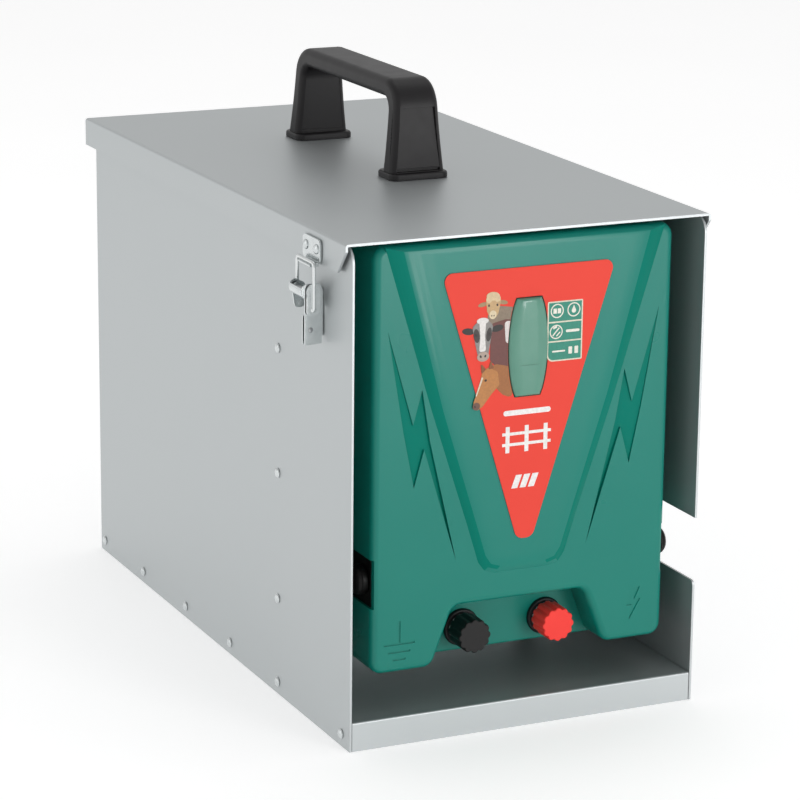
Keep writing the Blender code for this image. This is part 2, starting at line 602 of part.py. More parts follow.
def build_front_case():
    """Front half of the case: shell with the raised V field, feet, recess and pockets."""
    outline = rectangle(-CASE_HX, CASE_HX, CASE_Z0, CASE_Z1, 7.0, 4)
    case = prism("case", "y", outline, CASE_FRONT, CASE_PART - 0.15)
    soften(case, CASE_R, lambda p, q: max(p.y, q.y) < CASE_FRONT + 0.1, 4)
    low = rounded([(-88.0, 297.0), (88.0, 297.0), (25.5, 97.0), (-25.5, 97.0)], [6, 6, 9, 9], 4)
    high = rounded([(-74.5, 294.0), (74.5, 294.0), (17.5, 106.0), (-17.5, 106.0)], [5, 5, 6, 6], 4)
    join(case, loft("raised", "y", [(CASE_FRONT + 2.0, low), (CASE_FRONT, low), (RAISED_FRONT, high)]))
    recess = rounded([(-62.0, 30.0), (-43.5, RECESS_Z), (43.5, RECESS_Z), (62.0, 30.0)], [0, 5, 5, 0], 4)
    cut(case, prism("recess", "y", recess, RAISED_FRONT - 10, PANEL_Y))
    inner = rectangle(-CASE_HX + CASE_WALL, CASE_HX - CASE_WALL,
                      CASE_Z0 + CASE_WALL, CASE_Z1 - CASE_WALL, 4.5, 4)
    cavity = prism("cavity", "y", inner, CASE_FRONT + CASE_WALL, CASE_PART + 10)
    keep = [(-66.0, 30.0), (-46.5, RECESS_Z + CASE_WALL), (46.5, RECESS_Z + CASE_WALL), (66.0, 30.0)]
    cut(cavity, prism("keep", "y", keep, RAISED_FRONT - 10, PANEL_Y + CASE_WALL))
    for side in (-1, 1):
        a, b = sorted((side * (POCKET_X - CASE_WALL), side * 120))
        cut(cavity, box("keep", (a, RAISED_FRONT - 10, POCKET_Z0 - CASE_WALL),
                        (b, POCKET_Y + CASE_WALL, POCKET_Z1 + CASE_WALL)))
        for z in (CASE_Z0 + 11, CASE_Z1 - 11):
            cut(cavity, rod("boss", "y", side * (CASE_HX - 11), z, 6.0, RAISED_FRONT, CASE_PART + 20, 16))
    cut(case, cavity)
    for side in (-1, 1):
        a, b = sorted((side * POCKET_X, side * 120))
        cut(case, box("pocket", (a, POCKET_FRONT, POCKET_Z0), (b, POCKET_Y, POCKET_Z1)))
        a, b = sorted((side * NOTCH_X, side * 120))
        cut(case, box("notch", (a, RAISED_FRONT - 10, POCKET_Z0), (b, POCKET_Y, POCKET_Z1)))
        cut(case, prism("bolt", "y", bolt_outline(side), CASE_FRONT - 5, CASE_FRONT + 0.8))
        cut(case, rod("stud", "y", side * TERM_X, TERM_Z, 3.3, RAISED_FRONT, CASE_PART, 20))
        for z in (CASE_Z0 + 11, CASE_Z1 - 11):
            cut(case, rod("pilot", "y", side * (CASE_HX - 11), z, 1.8, CASE_PART - 24, CASE_PART + 5, 12))
    cut(case, box("earth", (-80.1, CASE_FRONT - 5, 60.4), (-78.9, CASE_FRONT + 0.5, 74.0)))
    for half, z in ((10.0, 60.0), (7.2, 55.2), (4.2, 50.4)):
        cut(case, box("earth", (-79.5 - half, CASE_FRONT - 5, z - 0.6),
                      (-79.5 + half, CASE_FRONT + 0.5, z + 0.6)))
    small = [(76.0, 75.0), (81.5, 75.0), (78.0, 67.5), (82.0, 67.5), (74.5, 54.5),
             (76.2, 63.8), (72.6, 63.8)]
    cut(case, prism("small_bolt", "y", small, CASE_FRONT - 5, CASE_FRONT + 0.5))
    cut(case, prism("window", "y", barrel_outline(0.35), RAISED_FRONT - 5, CASE_FRONT + 10))
    finish(case, "energizer_front_case", GREEN, 0.0, 0.42)


def build_rear_case():
    """Rear half of the case with corner bosses, screw holes and posts for the board."""
    outline = rectangle(-CASE_HX, CASE_HX, CASE_Z0, CASE_Z1, 7.0, 4)
    case = prism("case", "y", outline, CASE_PART + 0.15, CASE_BACK)
    soften(case, 2.5, lambda p, q: min(p.y, q.y) > CASE_BACK - 0.1, 2)
    inner = rectangle(-CASE_HX + CASE_WALL, CASE_HX - CASE_WALL,
                      CASE_Z0 + CASE_WALL, CASE_Z1 - CASE_WALL, 4.5, 4)
    cavity = prism("cavity", "y", inner, CASE_PART - 10, CASE_BACK - CASE_WALL)
    for side in (-1, 1):
        for z in (CASE_Z0 + 11, CASE_Z1 - 11):
            cut(cavity, rod("boss", "y", side * (CASE_HX - 11), z, 6.0, CASE_PART - 20, CASE_BACK, 16))
    for x in (-50.0, 50.0):
        for z in (120.0, 250.0):
            cut(cavity, rod("post", "y", x, z, 5.0, CASE_PART - 3.0, CASE_BACK, 16))
    cut(case, cavity)
    for side in (-1, 1):
        for z in (CASE_Z0 + 11, CASE_Z1 - 11):
            cut(case, rod("bore", "y", side * (CASE_HX - 11), z, 2.3, CASE_PART - 20, CASE_BACK + 5, 12))
            cut(case, rod("head", "y", side * (CASE_HX - 11), z, 4.4, CASE_BACK - 6, CASE_BACK + 5, 16))
    for x in (-50.0, 50.0):
        for z in (120.0, 250.0):
            cut(case, rod("pilot", "y", x, z, 1.9, CASE_BACK - 16, CASE_BACK + 5, 12))
    cut(case, rod("cable", "y", 60.0, 58.0, 5.3, CASE_BACK - 10, CASE_BACK + 5, 20))
    finish(case, "energizer_rear_case", GREEN, 0.0, 0.45)


def build_case_parts():
    """Screws, label, window, board and the parts on it."""
    for row, z in (("lower", CASE_Z0 + 11), ("upper", CASE_Z1 - 11)):
        for tag, side in (("left", -1), ("right", 1)):
            start = CASE_BACK - 6.0 + 0.3
            screw = turned("screw", "y", side * (CASE_HX - 11), z,
                           [(start + 2.6, 0.0), (start + 2.6, 3.0), (start + 2.0, 3.9), (start, 3.9),
                            (start, 1.6), (CASE_PART - 20, 1.6), (CASE_PART - 22, 0.0)], 12)
            finish(screw, "case_screw_" + row + "_" + tag, ZINC, 0.9, 0.3)
    for tag, x in (("left", -50.0), ("right", 50.0)):
        screw = turned("screw", "y", x, 250.0,
                       [(DIV_Y1 + 3.3, 0.0), (DIV_Y1 + 3.0, 2.6), (DIV_Y1 + 1.8, 4.2), (DIV_Y1 + 0.3, 4.4),
                        (DIV_Y1 + 0.3, 1.7), (CASE_BACK - 13, 1.7), (CASE_BACK - 14, 0.0)], 14)
        finish(screw, "mounting_screw_" + tag, ZINC, 0.9, 0.3)
    label = prism("label", "y", rounded([(-56.6, 282.0), (56.6, 282.0), (5.2, 117.0), (-5.2, 117.0)],
                                        [5.0, 5.0, 5.5, 5.5], 5), RAISED_FRONT - 0.65, RAISED_FRONT - 0.3)
    cut(label, prism("window", "y", barrel_outline(0.5), RAISED_FRONT - 5, RAISED_FRONT + 5))
    finish(label, "front_label", RED, 0.0, 0.45)
    lens = loft("lens", "y", [(CASE_FRONT + 3.0, barrel_outline(0.0)),
                              (RAISED_FRONT - 1.0, barrel_outline(0.0)),
                              (RAISED_FRONT - 1.9, barrel_outline(-0.7)),
                              (RAISED_FRONT - 2.6, barrel_outline(-2.0)),
                              (RAISED_FRONT - 3.0, barrel_outline(-4.0))])
    join(lens, prism("collar", "y", barrel_outline(2.0), CASE_FRONT + 2.85, CASE_FRONT + 4.3))
    finish(lens, "indicator_window", (0.22, 0.48, 0.38), 0.0, 0.18)
    guide = turned("guide", "y", 0.0, LENS_Z, [(CASE_FRONT + 4.7, 0.0), (CASE_FRONT + 4.7, 7.0),
                                               (CASE_PART - 5.4, 4.0), (CASE_PART - 5.4, 0.0)], 16)
    finish(guide, "light_guide", (0.75, 0.8, 0.75), 0.0, 0.1)
    board = box("board", (-70.0, CASE_PART - 5.0, 86.0), (70.0, CASE_PART - 3.4, 275.0))
    finish(board, "circuit_board", (0.02, 0.16, 0.06), 0.0, 0.5)
    core = box("core", (-38.0, -142.0, 150.0), (38.0, -106.0, 214.0))
    for side in (-1, 1):
        a, b = sorted((side * 13.0, side * 26.0))
        cut(core, box("window", (a, -150.0, 162.0), (b, -100.0, 202.0)))
    finish(core, "transformer_core", (0.30, 0.30, 0.32), 0.7, 0.5)
    winding = prism("winding", "z", rectangle(-25.5, 25.5, -147.5, -101.2, 6.0, 4), 162.5, 201.5)
    cut(winding, box("limb", (-13.5, -142.5, 150.0), (13.5, -105.5, 220.0)))
    finish(winding, "transformer_winding", (0.70, 0.34, 0.10), 0.4, 0.5)
    cap = turned("cap", "x", -125.0, 124.0, [(-38.0, 0.0), (-38.0, 17.0), (-36.5, 18.0),
                                             (36.5, 18.0), (38.0, 17.0), (38.0, 0.0)], 28)
    finish(cap, "pulse_capacitor", (0.10, 0.20, 0.45), 0.0, 0.4)
    gland = turned("gland", "y", 60.0, 31.0,
                   [(DIV_Y0 - 4.0, 4.0), (DIV_Y0 - 4.0, 8.0), (DIV_Y0 - 0.3, 8.6),
                    (DIV_Y0 - 0.3, 6.2), (DIV_Y1 + 0.3, 6.2), (DIV_Y1 + 0.3, 8.6),
                    (DIV_Y1 + 3.0, 8.0), (DIV_Y1 + 3.0, 4.0), (DIV_Y0 - 4.0, 4.0)], 20)
    finish(tidy_washer(gland), "battery_lead_grommet", BLACK, 0.0, 0.7)


def build_terminal(side, tag, colour):
    """Screw terminal: stud, inner nut, collar, clamp washer and fluted knob."""
    x = side * TERM_X
    stud = turned("stud", "y", x, TERM_Z,
                  [(PANEL_Y + 15.0, 0.0), (PANEL_Y + 15.0, 2.5), (PANEL_Y + 14.4, 3.0),
                   (PANEL_Y - 15.0, 3.0), (PANEL_Y - 15.8, 2.3), (PANEL_Y - 15.8, 0.0)], 20)
    finish(stud, "terminal_stud_" + tag, BRASS, 0.9, 0.3)
    nut = prism("nut", "y", circle(x, TERM_Z, 5.8, 6), PANEL_Y + CASE_WALL + 0.3, PANEL_Y + CASE_WALL + 5.3)
    cut(nut, rod("bore", "y", x, TERM_Z, 3.25, PANEL_Y, PANEL_Y + 20, 20))
    finish(nut, "terminal_nut_" + tag, BRASS, 0.9, 0.35)
    collar = turned("collar", "y", x, TERM_Z,
                    [(PANEL_Y - 0.3, 3.3), (PANEL_Y - 0.3, 11.8), (PANEL_Y - 2.2, 11.4),
                     (PANEL_Y - 2.6, 10.8), (PANEL_Y - 2.6, 3.3), (PANEL_Y - 0.3, 3.3)], 24)
    finish(tidy_washer(collar), "terminal_collar_" + tag, BLACK, 0.0, 0.5)
    washer = turned("washer", "y", x, TERM_Z,
                    [(PANEL_Y - 2.9, 3.3), (PANEL_Y - 2.9, 9.5), (PANEL_Y - 4.1, 9.5),
                     (PANEL_Y - 4.1, 3.3), (PANEL_Y - 2.9, 3.3)], 24)
    finish(tidy_washer(washer), "terminal_washer_" + tag, ZINC, 0.9, 0.3, (x, PANEL_Y - 3.5, TERM_Z))
    flutes = 12
    ring = []
    for k in range(flutes * 6):
        angle = 2 * math.pi * k / (flutes * 6)
        dip = 0.9 * abs(math.sin(angle * flutes / 2)) ** 4
        ring.append((math.cos(angle), math.sin(angle), KNOB_R - dip))

    def fluted(shrink):
        return [(x + c * (r - shrink), TERM_Z + s * (r - shrink)) for c, s, r in ring]
    knob = loft("knob", "y", [(PANEL_Y - 4.4, fluted(0.6)), (PANEL_Y - 5.0, fluted(0.0)),
                              (PANEL_Y - 19.5, fluted(0.2)), (PANEL_Y - 20.2, fluted(0.8))])
    cut(knob, rod("bore", "y", x, TERM_Z, 3.2, PANEL_Y, PANEL_Y - 17.5, 20))
    finish(knob, "terminal_knob_" + tag, colour, 0.0, 0.4, (x, PANEL_Y - 12.0, TERM_Z))


def build_side_knob(side, tag):
    """Black seat in the side pocket with a domed, slotted quarter-turn knob on it."""
    def across(value):
        return side * value

    low, high = sorted((across(POCKET_X + 0.3), across(NOTCH_X + 0.5)))
    seat = box("seat", (low, POCKET_FRONT + 0.3, POCKET_Z0 + 0.3), (high, POCKET_Y - 0.3, POCKET_Z1 - 0.3))
    cut(seat, rod("bore", "x", SIDE_KNOB_Y, SIDE_KNOB_Z, 4.1, across(POCKET_X - 5), across(CASE_HX + 5), 20))
    finish(seat, "side_seat_" + tag, BLACK, 0.0, 0.6)
    start = NOTCH_X + 0.8
    profile = [(across(POCKET_X + 1.0), 0.0), (across(POCKET_X + 1.0), 3.8), (across(start), 3.8),
               (across(start), 8.6), (across(start + 0.6), 9.2), (across(start + 3.6), 9.2),
               (across(start + 4.0), 8.7), (across(start + 5.8), 8.3), (across(start + 7.2), 7.0),
               (across(start + 8.0), 4.6), (across(start + 8.2), 0.0)]
    knob = turned("knob", "x", SIDE_KNOB_Y, SIDE_KNOB_Z, profile, 28)
    low, high = sorted((across(start + 6.6), across(start + 12)))
    cut(knob, box("slot", (low, SIDE_KNOB_Y - 0.9, SIDE_KNOB_Z - 9.5),
                  (high, SIDE_KNOB_Y + 0.9, SIDE_KNOB_Z + 9.5)))
    finish(knob, "side_knob_" + tag, BLACK, 0.0, 0.45, (across(CASE_HX), SIDE_KNOB_Y, SIDE_KNOB_Z))


build_body_wrap()
build_base_tray()
build_divider()
build_lid()
build_hinge()
for wall_tag, wall_side in (("left", -1), ("right", 1)):
    for level, rivet_z in zip(("lower", "middle", "upper"), RIVET_Z):
        build_rivet("divider_rivet_" + level + "_" + wall_tag, wall_side, RIVET_Y, rivet_z)
    for place, rivet_y in zip(("front", "rear"), BASE_RIVET_Y):
        build_rivet("base_rivet_" + place + "_" + wall_tag, wall_side, rivet_y, BASE_RIVET_Z)
build_handle()
build_latch(-1, "left")
build_latch(1, "right")
build_front_case()
build_rear_case()
build_case_parts()
build_terminal(-1, "earth", BLACK)
build_terminal(1, "fence", RED)
build_side_knob(-1, "left")
build_side_knob(1, "right")
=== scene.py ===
# %% [markdown]
# # A fence energizer in its carry box
#
# The object is a folded sheet-metal box with a hinged lid, two toggle latches and a bridge
# handle. In its open front stands a green plastic energizer with a red label, a light window
# and two screw terminals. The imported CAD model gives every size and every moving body. This
# lesson keeps those sizes and makes each piece look like what it is made of: galvanised sheet,
# zinc-plated steel, moulded plastic and printed film.

import json
import math

import bmesh
import bpy
from mathutils import Matrix, Vector

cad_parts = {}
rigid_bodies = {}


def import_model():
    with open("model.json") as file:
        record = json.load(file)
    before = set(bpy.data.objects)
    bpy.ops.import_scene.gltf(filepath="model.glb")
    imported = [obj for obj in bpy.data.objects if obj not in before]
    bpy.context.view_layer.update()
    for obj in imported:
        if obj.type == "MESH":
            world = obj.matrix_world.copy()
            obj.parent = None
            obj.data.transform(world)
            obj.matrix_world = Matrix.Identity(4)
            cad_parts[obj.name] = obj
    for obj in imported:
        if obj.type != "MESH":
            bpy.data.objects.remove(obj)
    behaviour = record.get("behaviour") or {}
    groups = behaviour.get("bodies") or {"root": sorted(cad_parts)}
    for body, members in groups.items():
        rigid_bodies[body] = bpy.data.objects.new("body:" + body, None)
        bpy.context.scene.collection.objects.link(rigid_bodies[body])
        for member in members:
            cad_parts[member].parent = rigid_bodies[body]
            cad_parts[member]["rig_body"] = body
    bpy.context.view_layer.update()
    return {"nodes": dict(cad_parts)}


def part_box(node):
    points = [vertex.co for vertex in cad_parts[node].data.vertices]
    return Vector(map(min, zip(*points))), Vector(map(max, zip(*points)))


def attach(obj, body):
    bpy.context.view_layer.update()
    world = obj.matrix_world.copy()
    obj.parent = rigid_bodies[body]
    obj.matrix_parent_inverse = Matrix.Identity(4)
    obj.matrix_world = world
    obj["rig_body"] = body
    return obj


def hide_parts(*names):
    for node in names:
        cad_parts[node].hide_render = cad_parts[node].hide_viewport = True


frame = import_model()

# %% [markdown]
# ## Millimetres, and where y starts
#
# Blender and the model work in metres, but sheet metal and plastic parts are easier to think
# of in millimetres. Pieces are therefore drawn in millimetres and scaled once, at the end.
# The lid overhangs the box at the rear only, so the middle of the whole object is not the
# middle of the box. While a piece is drawn, y is counted from the middle of the box body,
# which makes front and rear symmetrical numbers.

# %% Units and sizes taken from the model
MM = 0.001
wrap_low, wrap_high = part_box("body_wrap")
BODY_MIDDLE = Vector((0.0, (wrap_low.y + wrap_high.y) / 2 / MM, 0.0))


def span(node):
    """Lowest and highest corner of a CAD node, in millimetres from the body's middle."""
    low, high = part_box(node)
    return low / MM - BODY_MIDDLE, high / MM - BODY_MIDDLE


wrap_low, wrap_high = span("body_wrap")
WALL_X = wrap_high.x          # outer face of a side wall
LID_TOP = span("lid")[1].z
print("box body", [round(side, 1) for side in wrap_high - wrap_low])
print("lid top at", round(LID_TOP, 1))

# %% [markdown]
# ## Camera
#
# The camera stands in front, to the left and a little above, like someone who looks at the
# box on a table. A long lens from two metres away keeps the edges nearly parallel. The
# azimuth turns it round the object, the elevation lifts it and a slight roll tilts the frame.
# Its rotation is built from three directions: right, up and back.

# %% The camera
CAMERA_PLACE = Vector((-0.83759, -1.84475, 0.69154))
CAMERA_LENS = 145.146
AZIMUTH = math.radians(-24.881)
ELEVATION = math.radians(15.013)
ROLL = math.radians(0.618)

camera = bpy.data.objects.new("camera", bpy.data.cameras.new("camera"))
bpy.context.scene.collection.objects.link(camera)
camera.data.lens = CAMERA_LENS
camera.data.sensor_width = 36.0
camera.data.clip_start = 0.05
camera.data.clip_end = 50.0
back = Vector((math.sin(AZIMUTH) * math.cos(ELEVATION),
               -math.cos(AZIMUTH) * math.cos(ELEVATION),
               math.sin(ELEVATION)))
level_right = Vector((0.0, 0.0, 1.0)).cross(back).normalized()
level_up = back.cross(level_right)
right = level_right * math.cos(ROLL) + level_up * math.sin(ROLL)
up = level_up * math.cos(ROLL) - level_right * math.sin(ROLL)
turn = Matrix((right, up, back)).transposed().to_4x4()
camera.matrix_world = Matrix.Translation(CAMERA_PLACE) @ turn
bpy.context.scene.camera = camera
print("camera looks along", [round(part, 3) for part in -back])

# %% [markdown]
# ## Colours and nodes
#
# Paint and plastic colours are usually written as hex codes, which are sRGB. Blender's
# shaders calculate in linear light, so one function converts them. A second function adds a
# node, fills its sockets and settings and connects it, which keeps each material short
# enough to read. Every pattern is measured in real millimetres and follows the piece's own
# coordinates, so it stays on the piece when a joint moves.

# %% Colour and node helpers
def linear(code):
    """Linear RGBA from an sRGB hex code such as #F0A030."""
    channels = []
    for start in (1, 3, 5):
        value = int(code[start:start + 2], 16) / 255
        channels.append(value / 12.92 if value <= 0.04045 else ((value + 0.055) / 1.055) ** 2.4)
    return (*channels, 1.0)


def add_node(tree, kind, settings=None, links=None):
    """Add one node; settings name its sockets or its own properties."""
    node = tree.nodes.new(kind)
    for key, value in (settings or {}).items():
        if key in node.inputs:
            node.inputs[key].default_value = value
        else:
            setattr(node, key, value)
    for key, source in (links or {}).items():
        tree.links.new(source, node.inputs[key])
    return node


GLOSS_DRIFT = 0.04            # how far the roughness swings to either side


def finish_of(name, light, dark, patch_mm, rough, metallic=0.0, specular=0.5,
              grain_mm=0.6, grain_depth_mm=0.0, stretch=(1, 1, 1)):
    """Material whose colour and gloss drift between two values over patches of a real size."""
    material = bpy.data.materials.new(name)
    material.use_nodes = True
    tree = material.node_tree
    shader = tree.nodes["Principled BSDF"]
    for socket, value in (("Metallic", metallic), ("IOR", 1.5), ("Specular IOR Level", specular)):
        shader.inputs[socket].default_value = value
    place = add_node(tree, "ShaderNodeTexCoord")
    sized = add_node(tree, "ShaderNodeMapping", {"Scale": stretch},
                     {"Vector": place.outputs["Object"]})
    patches = add_node(tree, "ShaderNodeTexNoise", {"Scale": 1 / (patch_mm * MM), "Detail": 3.0},
                       {"Vector": sized.outputs["Vector"]})
    colour = add_node(tree, "ShaderNodeMix",
                      {"data_type": "RGBA", "A": linear(dark), "B": linear(light)},
                      {"Factor": patches.outputs["Fac"]})
    tree.links.new(colour.outputs["Result"], shader.inputs["Base Color"])
    gloss = add_node(tree, "ShaderNodeMapRange",
                     {"To Min": rough - GLOSS_DRIFT, "To Max": rough + GLOSS_DRIFT},
                     {"Value": patches.outputs["Fac"]})
    tree.links.new(gloss.outputs["Result"], shader.inputs["Roughness"])
    if grain_depth_mm > 0:
        grain = add_node(tree, "ShaderNodeTexNoise",
                         {"Scale": 1 / (grain_mm * MM), "Detail": 2.0},
                         {"Vector": sized.outputs["Vector"]})
        relief = add_node(tree, "ShaderNodeBump",
                          {"Strength": 1.0, "Distance": grain_depth_mm * MM},
                          {"Height": grain.outputs["Fac"]})
        tree.links.new(relief.outputs["Normal"], shader.inputs["Normal"])
    return material


print("orange in linear light:", [round(part, 3) for part in linear("#F0A030")])

# %% [markdown]
# ## Floor and light
#
# The object stands on a plain white floor that runs on to the horizon. Product pictures of
# dull metal are lit with large soft boxes: a wide one on the left, one low at the front right
# whose reflection lies as a veil on the plastic front, and a wide one above. The sky is a
# soft white that gets darker overhead, so that the lid and the handle read darker than the
# walls. The floor glows a little, as a lit table does, and the boxes stay invisible to the
# camera.

# %% Floor, sky and soft boxes
bpy.context.scene.view_settings.view_transform = "Standard"

FLOOR_HALF = 9.0
FLOOR_GLOW = 0.37
WHITE = (1.0, 1.0, 1.0, 1.0)

floor_mesh = bpy.data.meshes.new("floor")
floor_mesh.from_pydata([(-FLOOR_HALF, -FLOOR_HALF, 0), (FLOOR_HALF, -FLOOR_HALF, 0),
                        (FLOOR_HALF, FLOOR_HALF, 0), (-FLOOR_HALF, FLOOR_HALF, 0)],
                       [], [(0, 1, 2, 3)])
floor = bpy.data.objects.new("floor", floor_mesh)
bpy.context.scene.collection.objects.link(floor)
floor_paint = finish_of("matt_white_floor", "#F6F6F6", "#F2F2F2", 400, 0.8)
floor_shader = floor_paint.node_tree.nodes["Principled BSDF"]
floor_shader.inputs["Emission Color"].default_value = WHITE
floor_shader.inputs["Emission Strength"].default_value = FLOOR_GLOW
floor_mesh.materials.append(floor_paint)

sky = bpy.data.worlds.new("studio_sky")
sky.use_nodes = True
bpy.context.scene.world = sky
SKY_LOW, SKY_OVERHEAD = 0.92, 0.48
sky_place = add_node(sky.node_tree, "ShaderNodeTexCoord")
sky_axes = add_node(sky.node_tree, "ShaderNodeSeparateXYZ", {},
                    {"Vector": sky_place.outputs["Generated"]})
sky_height = add_node(sky.node_tree, "ShaderNodeMapRange",
                      {"From Min": 0.0, "From Max": 0.9,
                       "To Min": SKY_LOW, "To Max": SKY_OVERHEAD},
                      {"Value": sky_axes.outputs["Z"]})
backdrop = sky.node_tree.nodes["Background"]
backdrop.inputs["Color"].default_value = WHITE
sky.node_tree.links.new(sky_height.outputs["Result"], backdrop.inputs["Strength"])


def soft_box(name, place, aim, width, height, power):
    """Large rectangular area light that points at a spot and does not show itself."""
    lamp = bpy.data.lights.new(name, "AREA")
    lamp.shape = "RECTANGLE"
    lamp.size = width
    lamp.size_y = height
    lamp.energy = power
    holder = bpy.data.objects.new(name, lamp)
    bpy.context.scene.collection.objects.link(holder)
    holder.location = place
    holder.rotation_euler = (Vector(aim) - Vector(place)).to_track_quat("-Z", "Y").to_euler()
    holder.visible_camera = False
    return holder


HEART = (0.0, 0.0, 0.16)
soft_box("soft_box_left", (-2.6, 0.5, 1.1), HEART, 1.8, 1.6, 5)
soft_box("soft_box_right", (0.55, -1.65, 0.32), HEART, 0.5, 0.6, 7)
soft_box("soft_box_top", (0.3, 0.4, 2.6), HEART, 1.6, 1.6, 8)
print("soft boxes:", [lamp.name for lamp in bpy.data.lights])

# %% [markdown]
# ## Solids from outlines
#
# Nearly every part here started as an outline: a folded sheet, a punched plate, a moulded
# profile. One function lofts a solid through several outlines along an axis, and a straight
# extrusion is the same thing with two equal outlines. Turned parts, such as rivets and
# knobs, come from a profile swept round an axis. Corners are rounded in the outline before
# it is extruded, and the remaining edges get a small bevel, because no real edge is sharp
# and the bevel is what catches the light.

# %% Outline and solid helpers
def solid(bm):
    """Scene object from a bmesh in millimetres."""
    bmesh.ops.recalc_face_normals(bm, faces=bm.faces)
    mesh = bpy.data.meshes.new("blank")
    bm.to_mesh(mesh)
    bm.free()
    blank = bpy.data.objects.new("blank", mesh)
    bpy.context.scene.collection.objects.link(blank)
    return blank


def lay(axis, a, b, along):
    """Place the two plane coordinates and the length along an axis."""
    places = {"x": (along, a, b), "y": (a, along, b), "z": (a, b, along)}
    return Vector(places[axis])


def loft(axis, rings):
    """Solid through closed outlines; rings is a list of (position, outline)."""
    bm = bmesh.new()
    layers = [[bm.verts.new(lay(axis, a, b, along)) for a, b in outline]
              for along, outline in rings]
    count = len(layers[0])
    bm.faces.new(layers[0])
    bm.faces.new(list(reversed(layers[-1])))
    for low, high in zip(layers, layers[1:]):
        for i in range(count):
            j = (i + 1) % count
            bm.faces.new((low[i], low[j], high[j], high[i]))
    return solid(bm)


def prism(axis, outline, start, end):
    """Straight extrusion of an outline."""
    return loft(axis, [(start, outline), (end, outline)])


def circle(a, b, radius, steps, turn=0.0):
    """Points of a circle in a plane."""
    angles = [turn + 2 * math.pi * i / steps for i in range(steps)]
    return [(a + radius * math.cos(angle), b + radius * math.sin(angle)) for angle in angles]


def ellipse(a, b, half_a, half_b, tilt=0.0, steps=28):
    """Points of an ellipse whose first axis is tilted by an angle in degrees."""
    tilt = math.radians(tilt)
    points = []
    for p, q in circle(0.0, 0.0, 1.0, steps):
        p, q = p * half_a, q * half_b
        points.append((a + p * math.cos(tilt) - q * math.sin(tilt),
                       b + p * math.sin(tilt) + q * math.cos(tilt)))
    return points


def rounded(points, radii, steps=6):
    """Round the corners of a closed outline."""
    result = []
    count = len(points)
    for i in range(count):
        radius = radii[i] if isinstance(radii, (list, tuple)) else radii
        here = Vector(points[i])
        before = Vector(points[i - 1]) - here
        after = Vector(points[(i + 1) % count]) - here
        if radius <= 0:
            result.append(tuple(here))
            continue
        half = before.angle(after) / 2
        reach = min(radius / math.tan(half), before.length * 0.49, after.length * 0.49)
        radius = reach * math.tan(half)
        middle = (before.normalized() + after.normalized()).normalized()
        centre = here + middle * (radius / math.sin(half))
        start = here + before.normalized() * reach - centre
        sweep = start.angle_signed(here + after.normalized() * reach - centre)
        for k in range(steps + 1):
            result.append(tuple(centre + Matrix.Rotation(-sweep * k / steps, 2) @ start))
    return result


def rectangle(a0, a1, b0, b1, radius=0.0, steps=6):
    """Rectangle outline with rounded corners."""
    corners = [(a0, b0), (a1, b0), (a1, b1), (a0, b1)]
    return rounded(corners, radius, steps) if radius else corners


def block(low, high):
    """Axis-aligned block between two corners."""
    return prism("z", rectangle(low[0], high[0], low[1], high[1]), low[2], high[2])


def turned(axis, a, b, profile, steps=32):
    """Turned solid; profile is a list of (position along the axis, radius), closed at the axis."""
    bm = bmesh.new()
    rings = []
    for along, radius in profile:
        spots = circle(a, b, radius, steps) if radius > 0.001 else [(a, b)]
        rings.append([bm.verts.new(lay(axis, p, q, along)) for p, q in spots])
    for low, high in zip(rings, rings[1:]):
        for i in range(steps):
            j = (i + 1) % steps
            if len(low) == 1:
                bm.faces.new((low[0], high[j], high[i]))
            elif len(high) == 1:
                bm.faces.new((low[i], low[j], high[0]))
            else:
                bm.faces.new((low[i], low[j], high[j], high[i]))
    return solid(bm)


print("solid helpers ready")

# %% [markdown]
# ## Cutting, joining and finishing
#
# A Boolean modifier drills holes and joins lumps, as a mould or a punch would. After that,
# one function finishes every piece the same way: it bevels the edges that are sharper than
# about thirty degrees, scales the mesh to metres, shades it smooth with flat faces kept
# flat, gives it a material and lets it ride on its CAD body.

# %% Boolean, bevel and finishing helpers
def combine(target, operation, *tools):
    """Exact Boolean of a target with each tool; the tools are used up."""
    for tool in tools:
        modifier = target.modifiers.new("tool", "BOOLEAN")
        modifier.solver = "EXACT"
        modifier.operation = operation
        modifier.object = tool
        bpy.context.view_layer.update()
        graph = bpy.context.evaluated_depsgraph_get()
        mesh = bpy.data.meshes.new_from_object(target.evaluated_get(graph))
        target.modifiers.clear()
        target.data = mesh
        bpy.data.objects.remove(tool, do_unlink=True)
    return target


def cut(target, *tools):
    return combine(target, "DIFFERENCE", *tools)


def join(target, *tools):
    return combine(target, "UNION", *tools)


MERGE = 0.002                 # points closer than this are one, in millimetres


def soften(blank, width, segments=3, test=None, sharper_than=30):
    """Bevel the edges that are sharp enough and, if there is a test, whose two ends pass it."""
    bm = bmesh.new()
    bm.from_mesh(blank.data)
    bmesh.ops.remove_doubles(bm, verts=bm.verts, dist=MERGE)
    edges = [edge for edge in bm.edges
             if len(edge.link_faces) == 2
             and edge.calc_face_angle(0.0) > math.radians(sharper_than)
             and (test is None or test(edge.verts[0].co, edge.verts[1].co))]
    bmesh.ops.bevel(bm, geom=edges, offset=width, segments=segments, affect="EDGES",
                    profile=0.5, clamp_overlap=True)
    bm.to_mesh(blank.data)
    bm.free()
    return blank


